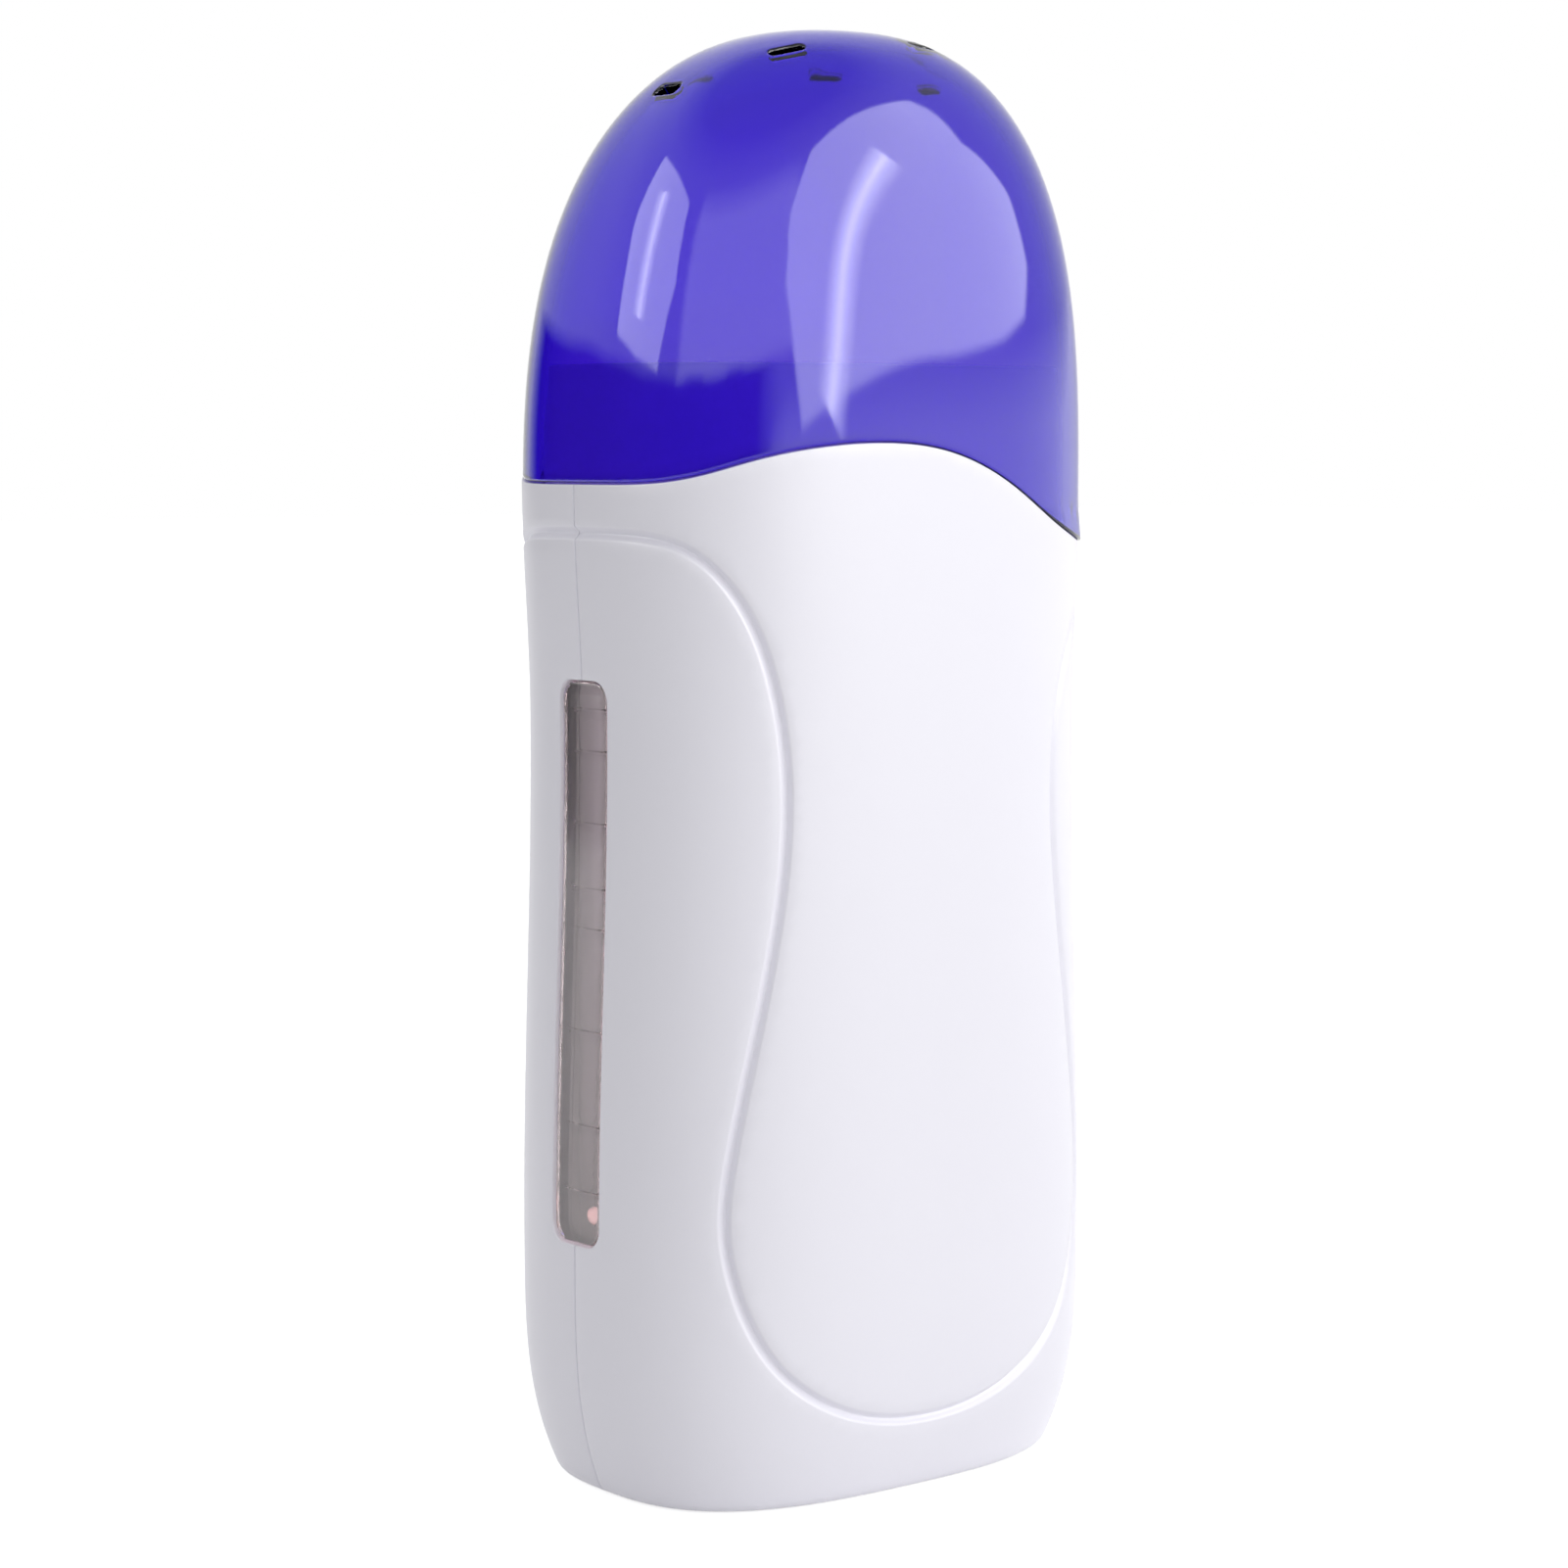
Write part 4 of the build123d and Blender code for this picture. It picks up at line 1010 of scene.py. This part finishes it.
def vent_outline(cap, i, clear):
    """The outline in plan of one vent slot."""
    turn = i * tau / cap.vent_count
    half_width, half_depth = cap.vent_ring_half_width, cap.vent_ring_half_depth
    along = np.array([-half_width * sin(turn), half_depth * cos(turn)])
    along /= np.hypot(*along)
    radius, half = cap.vent_width / 2 + clear, (cap.vent_length - cap.vent_width) / 2
    ends = ((half, -90), (-half, 90))
    flat = [arc(x, 0, radius, start, start + 180, CORNER_POINTS) for x, start in ends]
    flat = np.concatenate(flat)
    turned = flat[:, :1] * along + flat[:, 1:] * np.array([-along[1], along[0]])
    return turned + (half_width * cos(turn), half_depth * sin(turn))


def cap_mesh(sizes):
    """The cap's two faces, joined round the waved edge and through the vents."""
    cap, dome, sheet = sizes.cap, Dome(sizes.cap), Sheet()

    def rim(clear):
        turns = np.linspace(0, tau, CAP_RIM_POINTS + 1)[:-1]
        climbs = np.zeros(CAP_RIM_POINTS)
        for _ in range(6):
            x = cap_law(cap, turns, climbs, 0)[0]
            climbs = dome.climb_at(edge_level(sizes, x) + sizes.edge.gap + clear)
        return dome.flat(turns, climbs)

    def vent(i, clear):
        return dome.flat(*dome.under(vent_outline(cap, i, clear)))

    steps = lip_steps(cap.lip, cap.wall, cap.lip * INNER_LIP_SHARE)
    rims = [rim(clear) for _, clear in steps]
    vent_shapes = [partial(vent, i) for i in range(cap.vent_count)]
    vents = [[shape(clear) for _, clear in steps] for shape in vent_shapes]
    for rings in (rims, *vents):
        sheet.strips([dome.chart(ring, inset) for ring, (inset, _) in zip(rings, steps)])
    for k, pitch in ((0, CAP_PITCH), (-1, CAP_INNER_PITCH)):
        beside = [shape(steps[k][1] + off) for off in RIM_SUPPORTS for shape in (rim, *vent_shapes)]
        lines = [np.concatenate([loop, loop[:1]]) for loop in beside]
        points, triangles = fill([rims[k], *(rings[k] for rings in vents)], lines, pitch)
        sheet.add(dome.chart(points, steps[k][0]), triangles)
    return close_up(laid_over("Cap surface", cap_law, cap, sheet))


class WAXHEATER_OT_cap(bpy.types.Operator):
    """Moulds the see-through cap with its vents and waved edge"""

    bl_idname = "waxheater.cap"
    bl_label = "Cap"

    def execute(self, context):
        sizes = context.scene.wax_heater
        mesh, name = cap_mesh(sizes), "tinted clear plastic"
        made = clear_plastic(name, sizes.finish.cap, sizes.cap.wall, CAP_ROUGHNESS, 0.0)
        place("cap_moulding", mesh, made, "cap", "tinted_clear_plastic", "cap")
        return {"FINISHED"}


# ---- windows

MARK_LEVELS = (0.0398, 0.0484, 0.0606, 0.0738, 0.079, 0.0874, 0.0967, 0.1021)
MARK_ROWS = 7
MARK_SHARE = 0.96  # of the bar's half width, where the marks' rows of points end
WINDOW_PITCH = 0.0012
WINDOW_SIDE_POINTS = 56
WINDOW_ROUGHNESS = 0.06
WINDOW_HAZE = 0.08
EDGE_ANGLES = (90, 60, 30, 0)


def window_mesh(sizes):
    """The left bar: a face in the slot, a flange behind the shells, and level marks inside."""
    window, body = sizes.window, sizes.body
    girdle, sheet = Girdle(body), Sheet()
    half, bottom = window.width / 2 - window.gap, window.bottom + window.gap
    top, corner = window.bottom + window.height - window.gap, window.corner - window.gap
    steps = sorted(
        (window.recess + window.edge * (1 - sin(a)), -window.edge * (1 - cos(a)))
        for a in np.radians(EDGE_ANGLES)
    )
    steps += [(body.wall, 0.0), (body.wall, window.flange)]
    steps += [(body.wall + window.flange_wall, window.flange)]

    def outline(clear):
        ends = (bottom - clear, top + clear)
        return rounded_bar(half + clear, *ends, corner + clear, WINDOW_SIDE_POINTS)

    def chart(flat, inset, marked=False):
        depth = np.full(len(flat), inset)
        for level in MARK_LEVELS if marked else ():
            off = np.abs(flat[:, 1] - level) / (window.mark_width / 2)
            within = (off < 1) & (np.abs(flat[:, 0]) < half)
            depth += np.where(within, window.mark_height * (1 + np.cos(pi * off)) / 2, 0)
        return girdle.chart(flat, depth)

    rings = [outline(clear) for _, clear in steps]
    sheet.strips([chart(ring, inset) for ring, (inset, _) in zip(rings, steps)])
    reach = half * MARK_SHARE
    across = even_stops(-reach, reach, WINDOW_PITCH)
    offs = np.linspace(-0.5, 0.5, MARK_ROWS) * window.mark_width
    marks = [level_line(across, level + off) for level in MARK_LEVELS for off in offs]
    for k, lines in ((0, []), (-1, marks)):
        points, triangles = fill([rings[k]], lines, WINDOW_PITCH)
        sheet.add(chart(points, steps[k][0], marked=k == -1), triangles)
    return close_up(laid_over("Window surface", body_law, body, sheet))


class WAXHEATER_OT_windows(bpy.types.Operator):
    """Moulds the clear bars in the two narrow sides"""

    bl_idname = "waxheater.windows"
    bl_label = "Windows"

    def execute(self, context):
        sizes = context.scene.wax_heater
        wall, tint = sizes.body.wall + sizes.window.flange_wall, sizes.finish.window
        made = clear_plastic("clear plastic", tint, wall, WINDOW_ROUGHNESS, WINDOW_HAZE)
        left = window_mesh(sizes)
        right = left.copy()
        right.transform(Matrix.Scale(-1, 4, (1, 0, 0)))
        right.flip_normals()
        for name, mesh in (("left_window", left), ("right_window", right)):
            place(f"{name}_bar", mesh, made, "body", "clear_plastic", name)
        return {"FINISHED"}


# ---- pieces inside


class WAXHEATER_OT_well(bpy.types.Operator):
    """Finishes the cartridge well with its neck"""

    bl_idname = "waxheater.well"
    bl_label = "Cartridge well"

    def execute(self, context):
        finish = context.scene.wax_heater.finish
        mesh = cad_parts["cartridge_well"].data.copy()
        bm = bmesh.new()
        bm.from_mesh(mesh)
        bmesh.ops.remove_doubles(bm, verts=bm.verts, dist=WELD)
        bm.to_mesh(mesh)
        bm.free()
        made = satin_plastic("well plastic", finish.well, 0.4, 0.2)
        place("cartridge_well_moulding", mesh, made, "body", "well_plastic", "cartridge_well")
        return {"FINISHED"}


class WAXHEATER_OT_heater(bpy.types.Operator):
    """Finishes the heater, its guards, the lamp, the inlet, the wires and the screws"""

    bl_idname = "waxheater.heater"
    bl_label = "Heater and wiring"

    def execute(self, context):
        finish = context.scene.wax_heater.finish
        screws = ("clamp_screws", "well_screws", "shell_screws")
        for name, tint, roughness, metallic, *nodes in (
            ("milled aluminium", (0.72, 0.73, 0.74), 0.38, 1, "heating_plate"),
            ("heater ceramic", (0.12, 0.12, 0.13), 0.7, 0, "ptc_stones"),
            ("brass strip", (0.78, 0.6, 0.3), 0.35, 1, "heater_electrodes"),
            ("polyimide film", (0.62, 0.32, 0.06), 0.3, 0, "heater_insulation"),
            ("spring steel", (0.5, 0.51, 0.53), 0.33, 1, "heater_clamp"),
            ("zinc-plated screws", (0.66, 0.67, 0.69), 0.3, 1, *screws),
            ("thermostat case", (0.55, 0.55, 0.57), 0.4, 1, "thermostat"),
            ("fuse body", (0.8, 0.72, 0.5), 0.5, 0, "thermal_fuse"),
            ("glass-fibre sleeve", (0.85, 0.83, 0.76), 0.85, 0, "fuse_sleeve"),
            ("lamp board laminate", finish.laminate, 0.55, 0, "led_board"),
            ("resistor paint", (0.62, 0.5, 0.34), 0.4, 0, "led_resistor"),
            ("lamp resin", finish.lamp, 0.15, 0, "indicator_led"),
            ("black plastic", finish.socket, 0.42, 0, "inlet_socket"),
            ("nickel-plated pins", (0.7, 0.68, 0.62), 0.25, 1, "inlet_pins"),
            ("red wire", (0.55, 0.03, 0.02), 0.45, 0, "live_wire", "link_wire"),
            ("blue wire", (0.03, 0.1, 0.5), 0.45, 0, "neutral_wire"),
            ("white wire", (0.8, 0.8, 0.78), 0.45, 0, "led_wires"),
        ):
            inputs = {"Base Color": (*tint, 1), "Roughness": roughness, "Metallic": metallic}
            made = material(name, inputs)[0]
            for node in nodes:
                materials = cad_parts[node].data.materials
                materials.clear()
                materials.append(made)
        return {"FINISHED"}


# ---- stage

STAGE_CENTRE = Vector((0, 0, 0.1))
DOME_CENTRE = np.array((0, 0, 0.165))
SENSOR_WIDTH = 36.0
CLIP_START = 0.01
FLOOR_HALF = 6.0
FLOOR_LEVEL = -0.0002
# Directions from the middle of the dome to what its gloss shows
KEY_OUTLINE = (
    (-0.09, -0.93, 0.36),
    (-0.05, -0.84, 0.54),
    (0.11, -0.67, 0.73),
    (0.36, -0.52, 0.76),
    (0.62, -0.33, 0.71),
    (0.72, -0.44, 0.53),
    (0.87, -0.35, 0.35),
    (0.905, -0.378, 0.197),
    (0.87, -0.47, 0.117),
    (0.78, -0.61, 0.09),
    (0.44, -0.9, 0.05),
    (0.11, -0.99, 0.015),
    (0.03, -0.99, 0.136),
    (-0.09, -0.93, 0.36),
)
KEY_CORE = ((0.53, -0.65, 0.55), (0.41, -0.81, 0.43), (0.345, -0.89, 0.28))
KEY_CORE += ((0.33, -0.93, 0.13), (0.3, -0.95, 0.03))
SIDE_OUTLINE = (
    (-0.5, 0.51, 0.7),
    (-0.66, 0.22, 0.72),
    (-0.74, -0.03, 0.67),
    (-0.91, -0.1, 0.4),
    (-0.98, 0.04, 0.16),
    (-0.88, 0.35, 0.17),
    (-0.76, 0.61, 0.2),
    (-0.71, 0.61, 0.36),
    (-0.62, 0.62, 0.49),
    (-0.5, 0.51, 0.7),
)
SIDE_CORE = ((-0.69, 0.36, 0.64), (-0.78, 0.36, 0.5), (-0.85, 0.37, 0.37), (-0.88, 0.38, 0.27))
CORE_HALF_WIDTH = 0.1
CORE_POINTS = 25
# Shares of a card from row to row, or along a row of a belt
INWARDS = ((0,), (1,), (1,))
ACROSS = ((0,), (0.5,), (1,), (0.5,), (0,))
NONE, EDGED = (0,) * 8, (0, 1, 1, 1, 1, 1, 1, 0)
# Belts of card: turns in degrees from the front towards the right, heights, share of the lamp's
# distance, glow, and the shares of the card
BELTS = {
    "dark flag": (
        (-180, -165, -135, -105, -75, -45, -16, -4),
        (-0.16, 0.14, 0.175),
        1.05,
        0.0,
        (EDGED, EDGED, NONE),
    ),
    "fill": (
        (-77, -72, -60, -45, -30, -15, 0, 5),
        (0.14, 0.18, 0.8, 1.1),
        1.03,
        2.4,
        (NONE, EDGED, EDGED, NONE),
    ),
    "low fill": (
        (-12, 0, 15, 30, 45, 60, 90, 115),
        (-0.16, 0.0, 0.1),
        1.04,
        2.2,
        (EDGED, EDGED, NONE),
    ),
    "dark top": (np.linspace(0, 360, 33), (1 / 0.9, 2, 100), 1.1, 0.5, INWARDS),
}


def lamp(name, direction, distance, width, height, power_density):
    """A soft box that stands in a direction from the object and faces it, unseen in gloss."""
    data = bpy.data.lights.new(name, "AREA")
    data.shape, data.size, data.size_y = "RECTANGLE", width, height
    data.energy = power_density * width * height * pi
    piece = stand(name, data)
    aim = Vector(direction).normalized()
    piece.location = STAGE_CENTRE + aim * distance
    piece.rotation_euler = aim.to_track_quat("Z", "Y").to_euler()
    hide(piece, "camera", "transmission", "glossy")


def hide(piece, *rays):
    for ray in rays:
        setattr(piece, f"visible_{ray}", False)


def belt(turns, heights):
    """Rows of directions round the object."""
    return [[(sin(turn), -cos(turn), height) for turn in np.radians(turns)] for height in heights]


def card(name, directions, distance, glow, shares):
    """A card seen in gloss alone: rows of directions, with each point's share of the card."""
    made, tree, shader = material(
        name,
        {
            "Base Color": (0, 0, 0, 1),
            "Specular IOR Level": 0.0,
            "Emission Color": (1, 1, 1, 1),
            "Emission Strength": glow,
        },
    )
    share = tree.nodes.new("ShaderNodeAttribute")
    share.attribute_name = "share"
    show_by(tree, share.outputs["Fac"], tree.nodes.new("ShaderNodeBsdfTransparent"), shader)
    rows = np.array(directions, float)
    rows /= np.linalg.norm(rows, axis=2, keepdims=True)
    sheet = Sheet()
    sheet.strips([DOME_CENTRE + row * distance for row in rows], closed=False)
    mesh = sheet.mesh(name)
    values = np.broadcast_to(shares, rows.shape[:2]).ravel().astype(np.float32)
    mesh.attributes.new("share", "FLOAT", "POINT").data.foreach_set("value", values)
    mesh.materials.append(made)
    piece = stand(name, mesh)
    hide(piece, "camera", "diffuse", "transmission", "shadow", "volume_scatter")


def pulled_in(outline, share):
    """An outline of directions drawn towards its middle."""
    outline = np.array(outline, float)
    return outline + (outline.mean(axis=0) - outline) * share


def ribbon(line, half_width):
    """Five lines of directions side by side, spread sideways about a line."""
    stops = np.arange(len(line))
    line = smooth_through(stops, line, np.linspace(0, stops[-1], CORE_POINTS))
    across = np.cross(line, np.gradient(line, axis=0))
    across /= np.linalg.norm(across, axis=1, keepdims=True)
    return [line + across * half_width * side for side in (-1, -0.4, 0, 0.4, 1)]


def seen_ray(tree):
    """1 on camera, glossy and transmission rays."""
    path = tree.nodes.new("ShaderNodeLightPath")
    kinds = ("Camera", "Glossy", "Transmission")
    camera, glossy, through = (Field(tree, path.outputs[f"Is {kind} Ray"]) for kind in kinds)
    return larger(larger(camera, glossy), through).socket


def white_sky(ambient):
    """A sky that looks white and lights the object at a lower strength."""
    world = bpy.data.worlds.new("White sky")
    world.use_nodes = True
    tree = world.node_tree
    sky = tree.nodes["Background"]
    set_inputs(sky, {"Color": (1, 1, 1, 1)})
    wire(tree, (spread_between(tree, seen_ray(tree), ambient, 1.0), sky.inputs["Strength"]))
    bpy.context.scene.world = world


def floor():
    """A pale floor that keeps a faint shadow."""
    made, tree, shader = material(
        "pale floor",
        {
            "Base Color": (0.8, 0.8, 0.8, 1),
            "Roughness": 0.9,
            "Specular IOR Level": 0.0,
            "Emission Color": (1, 1, 1, 1),
        },
    )
    glow = spread_between(tree, seen_ray(tree), 0.0, 0.75)
    wire(tree, (glow, shader.inputs["Emission Strength"]))
    mesh = bpy.data.meshes.new("floor")
    corners = [(x * FLOOR_HALF, y * FLOOR_HALF) for x, y in ((-1, -1), (1, -1), (1, 1), (-1, 1))]
    mesh.from_pydata([(x, y, FLOOR_LEVEL) for x, y in corners], [], [(0, 1, 2, 3)])
    mesh.materials.append(made)
    stand("floor", mesh)


def set_camera(studio):
    """A camera on a level circle round the object's axis."""
    data = bpy.data.cameras.new("camera")
    data.lens, data.sensor_width, data.shift_x = studio.focal_length, SENSOR_WIDTH, studio.shift
    data.clip_start = CLIP_START
    camera = stand("camera", data)
    out, turn = studio.camera_distance, studio.camera_turn
    camera.location = (-sin(turn) * out, -cos(turn) * out, studio.camera_height)
    camera.rotation_euler = (pi / 2 - studio.camera_pitch, 0, -turn)
    bpy.context.scene.camera = camera


class WAXHEATER_OT_stage(bpy.types.Operator):
    """Sets the floor, the sky, the soft box, the cards and the camera"""

    bl_idname = "waxheater.stage"
    bl_label = "Studio"

    def execute(self, context):
        studio = context.scene.wax_heater.studio
        far = studio.lamp_distance
        white_sky(studio.ambient)
        floor()
        lamp("key soft box", (0.4, -0.81, 0.38), far, 1.25, 0.85, 1.84)
        for name, outline, glow in (
            ("key sheen", KEY_OUTLINE, 5.4),
            ("side sheen", SIDE_OUTLINE, 4.8),
        ):
            rows = [pulled_in(outline, share) for share in (0, 0.05, 1)]
            card(name, rows, far, glow, INWARDS)
        for name, line, glow in (("key core", KEY_CORE, 14.0), ("side core", SIDE_CORE, 11.0)):
            card(name, ribbon(line, CORE_HALF_WIDTH), far * 0.85, glow, ACROSS)
        for name, (turns, heights, share, glow, shares) in BELTS.items():
            card(name, belt(turns, heights), far * share, glow, shares)
        set_camera(studio)
        context.scene.view_settings.view_transform = "Standard"
        return {"FINISHED"}


# ---- add-on

OPERATORS = (
    WAXHEATER_OT_shells,
    WAXHEATER_OT_cap,
    WAXHEATER_OT_windows,
    WAXHEATER_OT_well,
    WAXHEATER_OT_heater,
    WAXHEATER_OT_stage,
)


class WAXHEATER_PT_panel(bpy.types.Panel):
    """Lists the pieces of the wax heater"""

    bl_idname = "WAXHEATER_PT_panel"
    bl_label = "Roll-on wax heater"
    bl_space_type = "VIEW_3D"
    bl_region_type = "UI"
    bl_category = "Wax heater"

    def draw(self, context):
        for operator in OPERATORS:
            self.layout.operator(operator.bl_idname)


CLASSES = (
    BodySizes,
    EdgeSizes,
    GrooveSizes,
    CapSizes,
    WindowSizes,
    Finishes,
    Studio,
    HeaterSettings,
    *OPERATORS,
    WAXHEATER_PT_panel,
)


def register():
    for made in CLASSES:
        bpy.utils.register_class(made)
    bpy.types.Scene.wax_heater = bpy.props.PointerProperty(type=HeaterSettings)


def unregister():
    del bpy.types.Scene.wax_heater
    for made in reversed(CLASSES):
        bpy.utils.unregister_class(made)


def main():
    register()
    bpy.ops.waxheater.shells()
    bpy.ops.waxheater.cap()
    bpy.ops.waxheater.windows()
    bpy.ops.waxheater.well()
    bpy.ops.waxheater.heater()
    bpy.ops.waxheater.stage()


if __name__ == "__main__":
    main()
